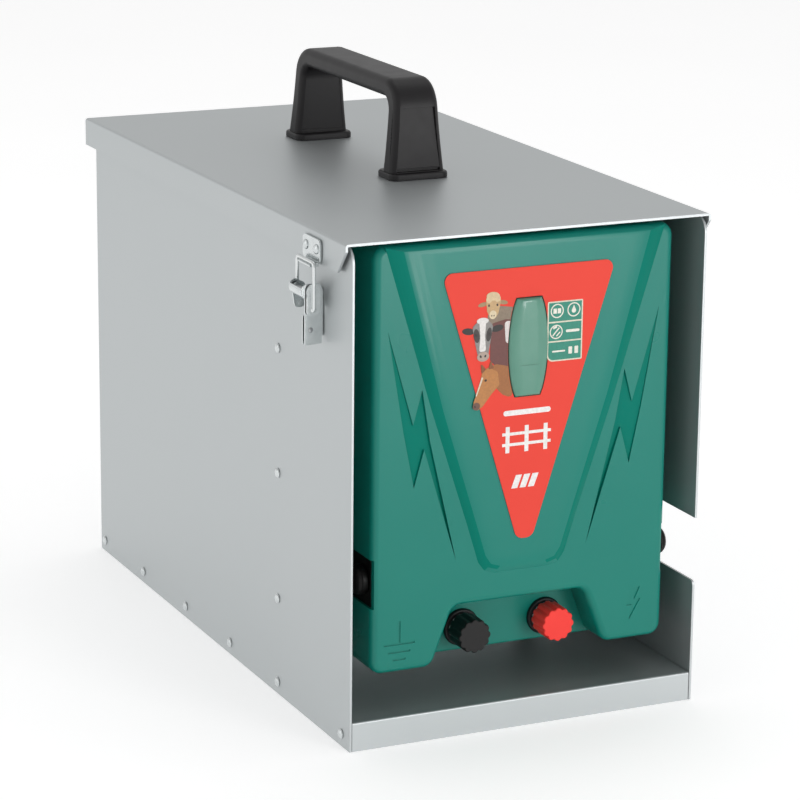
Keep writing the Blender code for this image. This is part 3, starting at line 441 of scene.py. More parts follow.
def piece(blank, name, material, body="box", stands_for=(),
          bevel=0.0, segments=2, smooth=35):
    """Finish a blank: bevel it, bring it to metres, shade it, colour it and let it ride."""
    if bevel:
        soften(blank, bevel, segments)
    blank.name = name
    blank.data.name = name
    blank.data.transform(Matrix.Scale(MM, 4) @ Matrix.Translation(BODY_MIDDLE))
    for polygon in blank.data.polygons:
        polygon.use_smooth = True
    blank.data.set_sharp_from_angle(angle=math.radians(smooth))
    blank.data.materials.clear()
    blank.data.materials.append(material)
    weighted = blank.modifiers.new("flat_faces_stay_flat", "WEIGHTED_NORMAL")
    weighted.keep_sharp = True
    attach(blank, body)
    if stands_for:
        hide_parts(*stands_for)
    return blank


def refined(node, material, bevel=0.25, segments=2, smooth=35):
    """Stand-in for a CAD node: its own solid with whole faces, beveled edges and a material."""
    bm = bmesh.new()
    bm.from_mesh(frame["nodes"][node].data)
    to_millimetres = Matrix.Translation(-BODY_MIDDLE) @ Matrix.Scale(1 / MM, 4)
    bmesh.ops.transform(bm, matrix=to_millimetres, verts=bm.verts)
    bmesh.ops.remove_doubles(bm, verts=bm.verts, dist=MERGE)
    bmesh.ops.dissolve_limit(bm, angle_limit=math.radians(0.6), verts=bm.verts, edges=bm.edges)
    body = frame["nodes"][node]["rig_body"]
    return piece(solid(bm), node + "_finished", material, body, (node,), bevel, segments,
                 smooth)


print("finishing helpers ready")

# %% [markdown]
# ## Galvanised sheet
#
# The box is bent from zinc-coated steel sheet with a dull, passivated surface. It is a metal,
# so its reflections carry its own grey, but the coating is so fine-grained that it spreads
# them into a soft sheen. A faint cloudiness, about as wide as a hand, keeps the big walls
# from looking like paint. The crystals themselves are finer than a millimetre and drawn
# only as a very shallow relief.

# %% Sheet and plated metals
galvanised_sheet = finish_of("galvanised_sheet_passivated", "#BFC3C4", "#B9BEBF", 90, 0.45,
                             metallic=0.80, grain_mm=1.2, grain_depth_mm=0.01)
zinc_plate = finish_of("zinc_plated_pressed_steel", "#DCE0E0", "#C6CBCC", 6, 0.24,
                       metallic=1.0, grain_mm=0.8, grain_depth_mm=0.01)
bright_wire = finish_of("zinc_plated_drawn_wire", "#E6E9E9", "#D2D6D6", 3, 0.2, metallic=1.0)
plain_steel = finish_of("cold_drawn_steel", "#B4B6B8", "#A4A6A8", 3, 0.32, metallic=1.0)
brass = finish_of("turned_brass", "#D9B45C", "#C79F49", 3, 0.28, metallic=1.0)
print("metals:", galvanised_sheet.name, zinc_plate.name, bright_wire.name)

# %% [markdown]
# ## Plastics, film and inner materials
#
# The case is moulded ABS: a deep green with a satin skin, so that the light lies on it as a
# pale veil. A darker, smoother copy of the same green with little reflection is painted shade:
# it darkens the lower flanks of the V field and the bolt floors as if the veil were missing.
# The handle and the collars are black glass-filled nylon with a fine spark-eroded grain, and the
# seats in the case are acetal, a deeper black. The terminal knobs are polypropylene, black and
# red. The label is a red printed film with hardly any gloss. Inside are a fibreglass board,
# laminated iron, enamelled copper and a shrink-sleeved capacitor.

# %% Plastics, film and inner materials
green_abs = finish_of("green_moulded_abs", "#027A6C", "#027568", 60, 0.29,
                      specular=0.35, grain_mm=0.9, grain_depth_mm=0.012)
# Painted shade: a darker, less reflective copy of the green for the flank feet and bolt floors.
green_abs_painted_shade = finish_of("green_moulded_abs_painted_shade", "#027567", "#02705F", 60, 0.2,
                           specular=0.08)
black_nylon = finish_of("black_glass_filled_nylon", "#181618", "#151315", 8, 0.44,
                        specular=0.32, grain_mm=0.7, grain_depth_mm=0.03)
black_seat_plastic = finish_of("black_acetal", "#0E0D0D", "#0B0A0A", 8, 0.4, specular=0.15)
black_knob_plastic = finish_of("black_polypropylene", "#171616", "#141313", 8, 0.42,
                               specular=0.3, grain_depth_mm=0.01)
red_knob_plastic = finish_of("red_polypropylene", "#F23F38", "#EB3932", 8, 0.36,
                             specular=0.25, grain_depth_mm=0.01)
red_film = finish_of("red_printed_film", "#E24A3E", "#DE463B", 40, 0.45, specular=0.1)
window_plastic = finish_of("green_tinted_window", "#5A8E7C", "#528674", 12, 0.2)
clear_plastic = finish_of("clear_acrylic", "#E6F0EA", "#DDE9E2", 12, 0.12)
soft_rubber = finish_of("black_soft_rubber", "#2A2A2A", "#232323", 5, 0.7)
fibreglass = finish_of("green_solder_mask", "#1D6B3A", "#175E31", 9, 0.4)
iron_stack = finish_of("laminated_iron", "#6B6D72", "#4E5055", 0.5, 0.5, metallic=0.9,
                       stretch=(0.02, 1, 0.02))
copper_coil = finish_of("enamelled_copper", "#C4702F", "#8C4A1C", 0.8, 0.35, metallic=0.9,
                        stretch=(0.02, 0.02, 1))
blue_sleeve = finish_of("blue_shrink_sleeve", "#27508C", "#22487F", 10, 0.35)
print("plastics:", green_abs.name, black_nylon.name, red_film.name)

# %% [markdown]
# ## The folded box, tray, divider and lid
#
# Sheet parts are punched flat and then folded. What shows that they are sheet is the cut
# edge: a thin bright line wherever the thickness turns into view. The CAD solids already
# have the folds, slots and holes, so each one is rebuilt with whole faces and a quarter
# millimetre bevel along its cut edges, which is what a punch leaves.

# %% Sheet-metal pieces
for sheet_node in ("body_wrap", "base_tray", "divider", "lid"):
    sheet_piece = refined(sheet_node, galvanised_sheet, bevel=0.28, segments=2)
    print(sheet_piece.name, len(sheet_piece.data.polygons), "faces")

# %% [markdown]
# ## Rivets
#
# Blind rivets hold the tray and the divider to the side walls. On the outside each one is a
# low dome with a thin brim. The CAD model has those at the divider and at the corners of the
# tray; the real box has six along each lower edge, so the missing four a side are added.

# %% Wall rivets
DOME_RADIUS = 3.1
DOME_HEIGHT = 1.5
DOME_BRIM = 0.25              # the dome starts this far above the wall
SHANK_RADIUS = 1.6
WALL_GAP = 0.25
ADDED_RIVETS_Y = (-108.0, -28.9, 49.4, 129.3)


def dome_profile(side, foot, radius, height, shank_end):
    """Profile of a domed rivet that points outward from a wall at x = foot."""
    profile = [(side * (foot + height), 0.0)]
    for k in range(1, 7):
        angle = math.pi / 2 * k / 6
        profile.append((side * (foot + DOME_BRIM + (height - DOME_BRIM) * math.cos(angle)),
                        radius * 0.94 * math.sin(angle)))
    profile += [(side * (foot + 0.2), radius), (side * foot, radius),
                (side * foot, SHANK_RADIUS), (side * shank_end, SHANK_RADIUS),
                (side * shank_end, 0.0)]
    return profile


def wall_rivet(name, side, y, z, stands_for=()):
    """Domed rivet in a side wall."""
    profile = dome_profile(side, WALL_X + WALL_GAP, DOME_RADIUS, DOME_HEIGHT, WALL_X - 4.2)
    head = turned("x", y, z, profile, 24)
    return piece(head, name, zinc_plate, "box", stands_for)


def middle_of(node):
    """Centre of a CAD node's box, in millimetres."""
    low, high = span(node)
    return (low + high) / 2


for wall, side in (("left", -1), ("right", 1)):
    for spot in ("divider_rivet_lower", "divider_rivet_middle", "divider_rivet_upper",
                 "base_rivet_front", "base_rivet_rear"):
        node = spot + "_" + wall
        centre = middle_of(node)
        wall_rivet(node + "_domed", side, centre.y, centre.z, (node,))
    first = middle_of("base_rivet_front_" + wall)
    for number, y in enumerate(ADDED_RIVETS_Y):
        wall_rivet("base_rivet_%d_%s" % (number + 2, wall), side, y, first.z)
print("rivets per side wall:", 5 + len(ADDED_RIVETS_Y))

# %% [markdown]
# ## The bridge handle
#
# The handle is one nylon moulding: a broad grip that turns down over a large radius into two
# legs, which flare towards flanged feet. To save plastic and keep the walls even, the mould
# leaves a panel in the outer and inner face of each leg, framed by a raised edge. The outer
# one starts with a short step over the foot and gets deeper towards the grip. The handle is
# built like that: the arch profile is extruded in slices that widen towards the lid, its long
# edges are rounded, the panels are cut out and the feet are joined on.

# %% Handle
handle_low, handle_high = span("handle")
HANDLE_MIDDLE = (handle_low.y + handle_high.y) / 2
HANDLE_X = (handle_low.x + handle_high.x) / 2
HANDLE_BASE = handle_low.z
HANDLE_RISE = handle_high.z - HANDLE_BASE
FOOT_OFFSET = 74.25
GRIP_HALF = 14.5
LEG_HALF = 19.0
LEG_OUTER = (83.0, 79.5)      # outer face of a leg at the foot and at the top, from the middle
LEG_INNER = (67.5, 67.0)
GRIP_UNDERSIDE = 48.5
LEG_FOOT = 2.5                # the legs start inside the feet
HANDLE_SLICES = 4
PANEL_STEPS = 6
LEG_PANELS = (                # faces, outward, depth below and above, low, high, margin
    (LEG_OUTER, 1, (0.4, 2.0), 6.6, 44.0, 3.4),
    (LEG_OUTER, 1, (2.2, 2.2), 4.4, 6.0, 3.6),
    (LEG_INNER, -1, (0.4, 0.4), 6.2, 40.0, 3.4),
)
FOOT_RINGS = ((0.0, 19.9, 12.6, 5.5), (2.6, 19.9, 12.6, 5.5),     # height, half x, half y, corner
              (3.6, 19.5, 12.2, 5.2), (4.0, 18.8, 11.5, 4.8))
SCREW_HOLE = 3.2


def flare(height):
    """Half width of the handle at a height above the lid."""
    share = max(0.0, 1.0 - height / HANDLE_RISE)
    return GRIP_HALF + (LEG_HALF - GRIP_HALF) * share ** 1.6


def leg_face(pair, height):
    """Distance of a leg's face from the handle's middle at a height."""
    return pair[0] + (pair[1] - pair[0]) * height / HANDLE_RISE


arch = rounded([(-LEG_OUTER[0], LEG_FOOT), (-LEG_OUTER[1], HANDLE_RISE),
                (LEG_OUTER[1], HANDLE_RISE), (LEG_OUTER[0], LEG_FOOT), (LEG_INNER[0], LEG_FOOT),
                (LEG_INNER[1], GRIP_UNDERSIDE), (-LEG_INNER[1], GRIP_UNDERSIDE),
                (-LEG_INNER[0], LEG_FOOT)],
               [0, 18.0, 18.0, 0, 0, 8.0, 8.0, 0], 10)
arch_outline = []
for (y0, z0), (y1, z1) in zip(arch, arch[1:] + arch[:1]):
    steps = max(1, round(math.hypot(y1 - y0, z1 - z0) / 8.0))
    arch_outline += [(y0 + (y1 - y0) * k / steps, z0 + (z1 - z0) * k / steps)
                     for k in range(steps)]
bm = bmesh.new()
layers = []
for k in range(HANDLE_SLICES + 1):
    share = -1 + 2 * k / HANDLE_SLICES
    layers.append([bm.verts.new((HANDLE_X + share * flare(z), y + HANDLE_MIDDLE, z + HANDLE_BASE))
                   for y, z in arch_outline])
count = len(arch_outline)
bm.faces.new(layers[0])
bm.faces.new(list(reversed(layers[-1])))
for low, high in zip(layers, layers[1:]):
    for i in range(count):
        bm.faces.new((low[i], low[(i + 1) % count], high[(i + 1) % count], high[i]))
handle = solid(bm)
soften(handle, 4.4, 6, lambda p, q: (
    p.x * q.x > 0 and max(p.z, q.z) > HANDLE_BASE + 3 and abs(p.z - q.z) + abs(p.y - q.y) > 0.01))


def leg_panel(side, pair, outward, depths, low, high, margin):
    """Cutter for the panel in one face of a leg; its depth changes from bottom to top."""
    rings = []
    for k in range(PANEL_STEPS + 1):
        height = low + (high - low) * k / PANEL_STEPS
        face = leg_face(pair, height)
        depth = depths[0] + (depths[1] - depths[0]) * k / PANEL_STEPS
        a = HANDLE_MIDDLE + side * (face - outward * depth)
        b = HANDLE_MIDDLE + side * (face + outward * 6.0)
        half = flare(height) - margin
        rings.append((HANDLE_BASE + height,
                      rectangle(HANDLE_X - half, HANDLE_X + half, min(a, b), max(a, b))))
    return loft("z", rings)


for side in (-1, 1):
    for leg_faces, outward, depths, low, high, margin in LEG_PANELS:
        cut(handle, leg_panel(side, leg_faces, outward, depths, low, high, margin))
    y = HANDLE_MIDDLE + side * FOOT_OFFSET
    foot = loft("z", [(HANDLE_BASE + height, rectangle(HANDLE_X - half_x, HANDLE_X + half_x,
                                                       y - half_y, y + half_y, corner))
                      for height, half_x, half_y, corner in FOOT_RINGS])
    join(handle, foot)
    cut(handle, turned("z", HANDLE_X, y, [(HANDLE_BASE - 5, 0.0), (HANDLE_BASE - 5, SCREW_HOLE),
                                          (HANDLE_BASE + 22, SCREW_HOLE), (HANDLE_BASE + 22, 0.0)]))
piece(handle, "bridge_handle", black_nylon, "lid", ("handle",), bevel=0.5)
print("handle rises", round(HANDLE_RISE, 1), "mm above the lid")

# %% [markdown]
# ## The green front case
#
# The energizer's front is one injection moulding. Its outline has a notch between two feet
# for the terminals, all outer edges are rounded, and a V-shaped field rises three millimetres
# in the middle. The flanks of the V aren't sharp steps: they rise steeply at the foot and
# level out towards the crest, so they catch the light as soft bands. The field is a loft
# through outlines whose rise follows a power curve. The lower part of each flank gets a
# darker copy of the green, which is painted shade. Lightning bolts and the terminal symbols
# are engraved.

# %% Front case
case_low, case_high = span("energizer_front_case")
CASE_HALF = case_high.x
CASE_FOOT = case_low.z
CASE_TOP = case_high.z
FIELD_FACE = case_low.y              # the raised field is the foremost face
FIELD_RISE = 3.0
CASE_FACE = FIELD_FACE + FIELD_RISE
CASE_REAR = case_high.y
PANEL_FACE = -185.0
CASE_WALL = 2.5
NOTCH_TOP = 78.3
NOTCH_HALF = 43.5
NOTCH_FOOT = 57.4
POCKET_LOW, POCKET_HIGH = 83.0, 113.0
POCKET_BACK, POCKET_FRONT = -178.0, -203.8
POCKET_X = 90.0                      # floor of a side pocket
CORNER_CUT_X = 95.7                  # floor of the shallow cut through the front corner
OUTSIDE_X = 120.0                    # cutters for the pockets reach out to here
SCREW_INSET = 11.0                   # case screws lie this far inside the outline

front_outline = rounded([(-CASE_HALF, CASE_FOOT), (-NOTCH_FOOT, CASE_FOOT),
                         (-NOTCH_HALF, NOTCH_TOP), (NOTCH_HALF, NOTCH_TOP),
                         (NOTCH_FOOT, CASE_FOOT), (CASE_HALF, CASE_FOOT),
                         (CASE_HALF, CASE_TOP), (-CASE_HALF, CASE_TOP)],
                        [8, 8, 7, 7, 8, 8, 8, 8], 8)
front_case = prism("y", front_outline, CASE_FACE, PANEL_FACE)
soften(front_case, 4.6, 7, lambda p, q: max(p.y, q.y) < CASE_FACE + 0.1)
rear_block = prism("y", rectangle(-CASE_HALF, CASE_HALF, CASE_FOOT, CASE_TOP, 8.0, 8),
                   PANEL_FACE - 0.001, CASE_REAR)
soften(rear_block, 1.2, 3, lambda p, q: (
    max(p.y, q.y) < PANEL_FACE + 0.1 and max(p.z, q.z) < CASE_FOOT + 20))
join(front_case, rear_block)


def between(low, high, share):
    """Outline part of the way between two outlines with the same number of points."""
    return [(a0 + (a1 - a0) * share, b0 + (b1 - b0) * share)
            for (a0, b0), (a1, b1) in zip(low, high)]


def mirrored(points):
    """Closed outline from its right half, listed from the top down."""
    return [(-x, z) for x, z in points] + [(x, z) for x, z in reversed(points)]


V_FOOT = mirrored([(92.0, 303.0), (60.2, 200.0), (36.0, 127.5), (28.6, 104.0),
                   (24.5, 98.5), (18.0, 96.5)])
V_CREST = mirrored([(61.5, 303.0), (41.2, 200.0), (22.0, 133.0), (17.2, 117.0),
                    (14.0, 111.5), (9.0, 110.0)])
V_STEPS = 12
FLANK_POWER = 3.4
flank = [(CASE_FACE + 1.5, V_FOOT)]
for k in range(V_STEPS + 1):
    share = k / V_STEPS
    rise = 1 - (1 - share) ** FLANK_POWER
    flank.append((CASE_FACE - FIELD_RISE * rise - 0.001, between(V_FOOT, V_CREST, share)))
field = loft("y", flank)
brow = rounded([(FIELD_FACE - 0.002, 80.0), (FIELD_FACE - 0.002, CASE_TOP),
                (CASE_FACE + 9, CASE_TOP), (CASE_FACE + 9, 80.0)], [0, 7.5, 0, 0], 10)
combine(field, "INTERSECT", prism("x", brow, -CASE_HALF, CASE_HALF))
join(front_case, field)
print("front case face at", round(CASE_FACE, 1), "field at", round(FIELD_FACE, 1))

# %% [markdown]
# ## Hollow, pockets and engravings
#
# Behind its 2.5 mm wall the case is hollow. The hollow keeps clear of the terminal notch,
# the two side pockets and the four screw bosses. The bolts are engraved a third of a
# millimetre deep at their outer edge, and their floors slope down towards the middle of the
# case. The floors later get a darker copy of the green as painted shade, so each bolt reads
# as a dark figure with a fine light line along its rim.

# %% Cavity, pockets and engravings
cavity = prism("y", rectangle(-CASE_HALF + CASE_WALL, CASE_HALF - CASE_WALL,
                              CASE_FOOT + CASE_WALL, CASE_TOP - CASE_WALL, 5.0),
               CASE_FACE + CASE_WALL + 0.6, CASE_REAR + 10)
notch_clearance = [(-66.0, 30.0), (-47.5, NOTCH_TOP + CASE_WALL + 1),
                   (47.5, NOTCH_TOP + CASE_WALL + 1), (66.0, 30.0)]
cut(cavity, prism("y", notch_clearance, FIELD_FACE - 10, PANEL_FACE + CASE_WALL))
for side in (-1, 1):
    a, b = sorted((side * (POCKET_X - CASE_WALL), side * OUTSIDE_X))
    cut(cavity, block((a, FIELD_FACE - 10, POCKET_LOW - CASE_WALL),
                      (b, POCKET_BACK + CASE_WALL, POCKET_HIGH + CASE_WALL)))
    for z in (CASE_FOOT + SCREW_INSET, CASE_TOP - SCREW_INSET):
        boss = circle(side * (CASE_HALF - SCREW_INSET), z, 6.0, 20)
        cut(cavity, prism("y", boss, FIELD_FACE, CASE_REAR + 20))
cut(front_case, cavity)

BOLT = [(88.7, 250.0), (78.4, 189.5), (71.2, 154.5), (64.8, 177.3), (43.0, 106.5),
        (61.0, 181.5), (66.5, 213.5), (72.1, 192.8)]
BOLT_DEPTH, BOLT_SLOPE = 0.35, 0.045
SMALL_BOLT = [(76.0, 75.0), (81.5, 75.0), (78.0, 67.5), (82.0, 67.5), (74.5, 54.5),
              (76.2, 63.8), (72.6, 63.8)]
SYMBOL_DEPTH = 0.6
EARTH_X = -79.5
EARTH_BARS = ((0.7, 60.4, 74.0), (10.0, 59.4, 60.6), (7.2, 54.6, 55.8), (4.2, 49.8, 51.0))


def engrave(outline, depth, tilt=0.0):
    """Cut an outline into the front face; tilt lowers the floor towards the case's middle."""
    bm = bmesh.new()
    mouth = [bm.verts.new((a, CASE_FACE - 5, b)) for a, b in outline]
    reach = max(abs(a) for a, b in outline)
    ground = [bm.verts.new((a, CASE_FACE + depth + tilt * (reach - abs(a)), b))
              for a, b in outline]
    bm.faces.new(mouth)
    bm.faces.new(list(reversed(ground)))
    for i in range(len(outline)):
        j = (i + 1) % len(outline)
        bm.faces.new((mouth[i], mouth[j], ground[j], ground[i]))
    cut(front_case, solid(bm))


for side in (-1, 1):
    for floor_x, front in ((POCKET_X, POCKET_FRONT), (CORNER_CUT_X, FIELD_FACE - 10)):
        a, b = sorted((side * floor_x, side * OUTSIDE_X))
        cut(front_case, block((a, front, POCKET_LOW), (b, POCKET_BACK, POCKET_HIGH)))
    engrave([(side * x, z) for x, z in BOLT], BOLT_DEPTH, BOLT_SLOPE)
    for z in (CASE_FOOT + SCREW_INSET, CASE_TOP - SCREW_INSET):
        pilot = circle(side * (CASE_HALF - SCREW_INSET), z, 1.8, 12)
        cut(front_case, prism("y", pilot, CASE_REAR - 24, CASE_REAR + 5))
for half_width, low, high in EARTH_BARS:
    engrave(rectangle(EARTH_X - half_width, EARTH_X + half_width, low, high), SYMBOL_DEPTH)
engrave(SMALL_BOLT, SYMBOL_DEPTH)
print("front case faces:", len(front_case.data.polygons))

# %% [markdown]
# ## The window
#
# A barrel-shaped, green-tinted window stands three millimetres proud of the label and shows
# the pulse light. Its outline has straight ends and bulging sides. The bulge is a formula:
# the half width grows from the ends to the middle as a power of a parabola. Its front is
# crowned, mostly sideways, so it is lofted through narrowing outlines that follow a quarter of
# an ellipse. A fine groove crosses it. The case gets its opening and its material here too.

# %% Window outline and opening
WINDOW_Z = 234.0
WINDOW_HALF = 29.5
WINDOW_END = 8.0
WINDOW_BULGE = 4.8
WINDOW_FRONT = span("indicator_window")[0].y


def barrel(grow, steps=14):
    """Outline of the window, grown or shrunk by a margin."""
    half = WINDOW_HALF + grow
    side_points = []
    for k in range(steps + 1):
        t = -1 + 2 * k / steps
        side_points.append((WINDOW_END + WINDOW_BULGE * (1 - t * t) ** 0.8 + grow,
                            WINDOW_Z + t * half))
    return side_points + [(-x, z) for x, z in reversed(side_points)]


cut(front_case, prism("y", barrel(0.35), FIELD_FACE - 5, CASE_FACE + 12))
STUD_X, STUD_Z = 28.0, 56.5
for side in (-1, 1):
    stud_hole = circle(side * STUD_X, STUD_Z, 3.3, 20)
    cut(front_case, prism("y", stud_hole, PANEL_FACE - 5, PANEL_FACE + 20))
piece(front_case, "front_case_moulding", green_abs, "box",
      ("energizer_front_case",), smooth=33)
# Second material: the darker copy of the green, painted shade, goes on the steep foot of each V
# flank and on the bolt floors.
front_case.data.materials.append(green_abs_painted_shade)
darkened = 0
for polygon in front_case.data.polygons:
    spot = polygon.center / MM - BODY_MIDDLE
    bolt_floor = (CASE_FACE + 0.2 < spot.y < CASE_FACE + 3.0 and polygon.normal.y < -0.9
                  and 42.5 < abs(spot.x) < 92.0 and 100.0 < spot.z < 251.0)
    flank_foot = (CASE_FACE - 2.3 < spot.y < CASE_FACE - 0.02
                  and abs(polygon.normal.x) > 0.08 and spot.z > 100.0)
    if flank_foot or bolt_floor:
        polygon.material_index = 1
        darkened += 1
print("polished faces:", darkened)


def crowned(inset):
    """The window's outline narrowed, mostly sideways."""
    return [(a * (1 - inset), WINDOW_Z + (b - WINDOW_Z) * (1 - 0.12 * inset))
            for a, b in barrel(0.0)]


CROWN_STEPS = 9
GROOVE_LOW, GROOVE_HIGH = WINDOW_Z - 10.6, WINDOW_Z - 10.2
window_rim = FIELD_FACE - 0.3
window_rings = [(CASE_FACE + 2.8, barrel(0.0)), (window_rim, barrel(0.0))]
for k in range(1, CROWN_STEPS):
    angle = math.pi / 2 * k / CROWN_STEPS
    window_rings.append((window_rim + (WINDOW_FRONT - FIELD_FACE + 0.3) * math.sin(angle),
                         crowned(0.8 * (1 - math.cos(angle)))))
window = loft("y", window_rings)
join(window, prism("y", barrel(2.0), CASE_FACE + 2.75, CASE_FACE + 4.3))
cut(window, prism("y", rectangle(-20, 20, GROOVE_LOW, GROOVE_HIGH),
                  WINDOW_FRONT - 2, WINDOW_FRONT + 0.35))
piece(window, "window_barrel", window_plastic, "box", ("indicator_window",),
      smooth=40)
print("window front at", round(WINDOW_FRONT, 1))

# %% [markdown]
# ## The label and its pictures
#
# The label is a red film with rounded corners, punched out round the window. On it are
# printed a sheep, a cow and a horse, a small information panel and plain marks, all drawn
# from ellipses and short polygons. Each colour of ink is its own very thin raised layer, and a
# later layer lies a twentieth of a millimetre above the one before it. There is no writing: a
# little fence and slanted bars stand where a name would be printed.

# %% Label film
label_low, label_high = span("front_label")
FILM_FACE = label_low.y
LABEL_CORNERS = [(-56.6, 282.0), (56.6, 282.0), (5.2, 117.0), (-5.2, 117.0)]
label = prism("y", rounded(LABEL_CORNERS, [5.0, 5.0, 5.5, 5.5], 8), FILM_FACE, label_high.y)
cut(label, prism("y", barrel(0.5), FILM_FACE - 5, FILM_FACE + 5))
piece(label, "label_film", red_film, "box", ("front_label",), bevel=0.1, segments=1)
LAYER = 0.05                  # one layer of ink, drawn thicker than a real one
PRINT_GAP = 0.01              # the print starts this far in front of the film


def ink(code):
    """Printing ink: an even, slightly glossy colour with a trace of paper mottling."""
    darker = "#" + "".join("%02X" % int(int(code[k:k + 2], 16) * 0.8) for k in (1, 3, 5))
    return finish_of("printing_ink_" + code[1:].lower(), code, darker, 1.3, 0.5)


inks = {}


def printed(name, code, shapes, level=0, behind_window=False, holes=(), place=None):
    """One colour of the print: closed shapes joined to one thin plate on the film."""
    if place:
        mid_x, mid_z, size, move_x, move_z = place
        shapes = [[(mid_x + (a - mid_x) * size + move_x, mid_z + (b - mid_z) * size + move_z)
                   for a, b in shape] for shape in shapes]
    front = FILM_FACE - 0.03 - LAYER * (level + 1)
    plate = prism("y", shapes[0], front, FILM_FACE - PRINT_GAP)
    for shape in shapes[1:]:
        join(plate, prism("y", shape, front, FILM_FACE - PRINT_GAP))
    for hole in holes:
        cut(plate, prism("y", hole, front - 1, FILM_FACE + 1))
    if behind_window:
        cut(plate, prism("y", barrel(0.7), FILM_FACE - 5, FILM_FACE + 5))
    if code not in inks:
        inks[code] = ink(code)
    return piece(plate, name, inks[code], "box", smooth=30)


print("label film", [round(side, 1) for side in label_high - label_low])

# %% [markdown]
# ## Three farm animals
#
# The animals are printed in layers, as a screen printer would: first the body, then the head,
# then the markings and the face. Each is drawn once at a handy size and then scaled and moved
# to its place, so that the three peer out from behind the window one above the other.

# %% The three animals
def smooth_shape(points, radius):
    """Printed shape with rounded corners."""
    return rounded(points, radius, 4)


SHEEP = (-26.0, 258.0, 0.86, 2.0, -3.0)    # centre x and z, size, move in x and z
COW = (-32.0, 240.0, 1.0, 2.0, 0.0)
HORSE = (-28.0, 212.0, 0.9, 0.0, 0.0)

# name, place, colour, layer, cut off by the window, shapes
ANIMAL_PRINTS = (
    ("sheep_body", SHEEP, "#8E7C68", 0, True, [
        smooth_shape([(-29.5, 259), (-20, 264), (-7, 262), (-5, 240), (-24, 238), (-29, 247)],
                     3)]),
    ("sheep_ears", SHEEP, "#A98A62", 1, False, [
        ellipse(-33.2, 266.0, 3.6, 1.5, 12), ellipse(-18.0, 266.4, 3.6, 1.5, -10)]),
    ("sheep_head", SHEEP, "#CDA978", 2, False, [
        smooth_shape([(-31, 270), (-27.5, 273.5), (-22, 273), (-19.6, 268), (-21.5, 259),
                      (-24, 255.5), (-27.4, 255.8), (-30, 261)], 2.2)]),
    ("sheep_wool", SHEEP, "#DFC59B", 3, False, [
        ellipse(-25.6, 271.2, 5.0, 3.0, -4), ellipse(-28.6, 269.2, 2.2, 2.4),
        ellipse(-22.2, 269.4, 2.2, 2.4)]),
    ("sheep_muzzle", SHEEP, "#E6D3B0", 4, False, [ellipse(-25.6, 258.4, 2.7, 3.0)]),
    ("sheep_marks", SHEEP, "#4A3B2E", 5, False, [
        ellipse(-28.7, 265.0, 0.7, 0.9), ellipse(-22.4, 265.0, 0.7, 0.9),
        ellipse(-26.5, 257.8, 0.4, 0.6), ellipse(-24.8, 257.8, 0.4, 0.6)]),
    ("cow_body", COW, "#6E3C36", 1, True, [
        smooth_shape([(-27, 250), (-17, 252), (-7, 250), (-6, 222), (-20, 221), (-27, 228)], 3)]),
    ("cow_shoulder", COW, "#E4DEDA", 2, True, [
        smooth_shape([(-18, 251), (-9, 250), (-12, 236), (-17, 238)], 2)]),
    ("cow_ears", COW, "#26211F", 2, False, [
        ellipse(-41.3, 246.6, 4.0, 2.0, -8), ellipse(-22.6, 247.0, 4.0, 2.0, 10)]),
    ("cow_head", COW, "#8F8B88", 3, False, [
        smooth_shape([(-38.8, 249), (-34, 253), (-29, 253), (-25.4, 249), (-27.2, 238),
                      (-28.4, 230), (-34.5, 229.5), (-36.6, 238)], 2.4)]),
    ("cow_patches", COW, "#3B3532", 4, False, [
        ellipse(-36.0, 243.6, 1.9, 4.2, 8), ellipse(-28.0, 243.8, 1.7, 4.2, -8)]),
    ("cow_blaze", COW, "#ECE8E4", 5, False, [
        smooth_shape([(-34.4, 251.5), (-30.0, 251.8), (-30.6, 243), (-29.8, 234),
                      (-34.2, 233.8), (-33.6, 243)], 1.2),
        ellipse(-32.2, 252.2, 3.8, 1.9)]),
    ("cow_muzzle", COW, "#B7A395", 6, False, [ellipse(-31.6, 230.8, 3.9, 2.9, 4)]),
    ("cow_marks", COW, "#2C2523", 7, False, [
        ellipse(-36.3, 243.8, 0.8, 0.9), ellipse(-27.7, 244.0, 0.7, 0.9),
        ellipse(-33.2, 231.0, 0.6, 0.9, 20), ellipse(-30.2, 231.1, 0.6, 0.9, -20)]),
    ("horse_neck", HORSE, "#A4652F", 2, True, [
        smooth_shape([(-29, 224), (-20, 227), (-8, 224), (-8, 203), (-15, 206), (-22, 213)],
                     2.5)]),
    ("horse_head", HORSE, "#BF7E3F", 3, False, [
        smooth_shape([(-30.4, 221.5), (-26, 225.5), (-19, 222), (-17.5, 213), (-23, 207.5),
                      (-29.5, 199.4), (-33.4, 197.0), (-36.4, 198.6), (-36.0, 203),
                      (-32.5, 212)], 2.2)]),
    ("horse_ears", HORSE, "#8A5226", 4, False, [
        smooth_shape([(-30.6, 221), (-31.2, 228.5), (-27.6, 224.5)], 0.5),
        smooth_shape([(-25.8, 224), (-24.2, 230.0), (-21.6, 224.4)], 0.5)]),
    ("horse_muzzle", HORSE, "#6E4B3C", 4, False, [ellipse(-34.0, 200.0, 2.6, 2.6, 30)]),
    ("horse_blaze", HORSE, "#E8D7BE", 5, False, [
        smooth_shape([(-30.4, 219.5), (-29.4, 218.6), (-33.8, 207), (-34.8, 206.6)], 0.4)]),
    ("horse_marks", HORSE, "#2F221B", 5, False, [
        ellipse(-27.6, 216.8, 0.9, 0.8, 20), ellipse(-35.0, 199.8, 0.5, 0.8, 20)]),
)
for name, place, code, level, behind_window, shapes in ANIMAL_PRINTS:
    printed(name, code, shapes, level, behind_window, place=place)
print("inks so far:", len(inks))

# %% [markdown]
# ## The information panel and the plain marks
#
# The small panel right of the window is green with a cream border and two dividing lines. In
# its fields are round pictograms: an open book, a drop, and a crossed-out tool. The marks
# below the window are white: a length of fence with three posts and two wires, a short line
# over it, and three slanted bars near the tip.

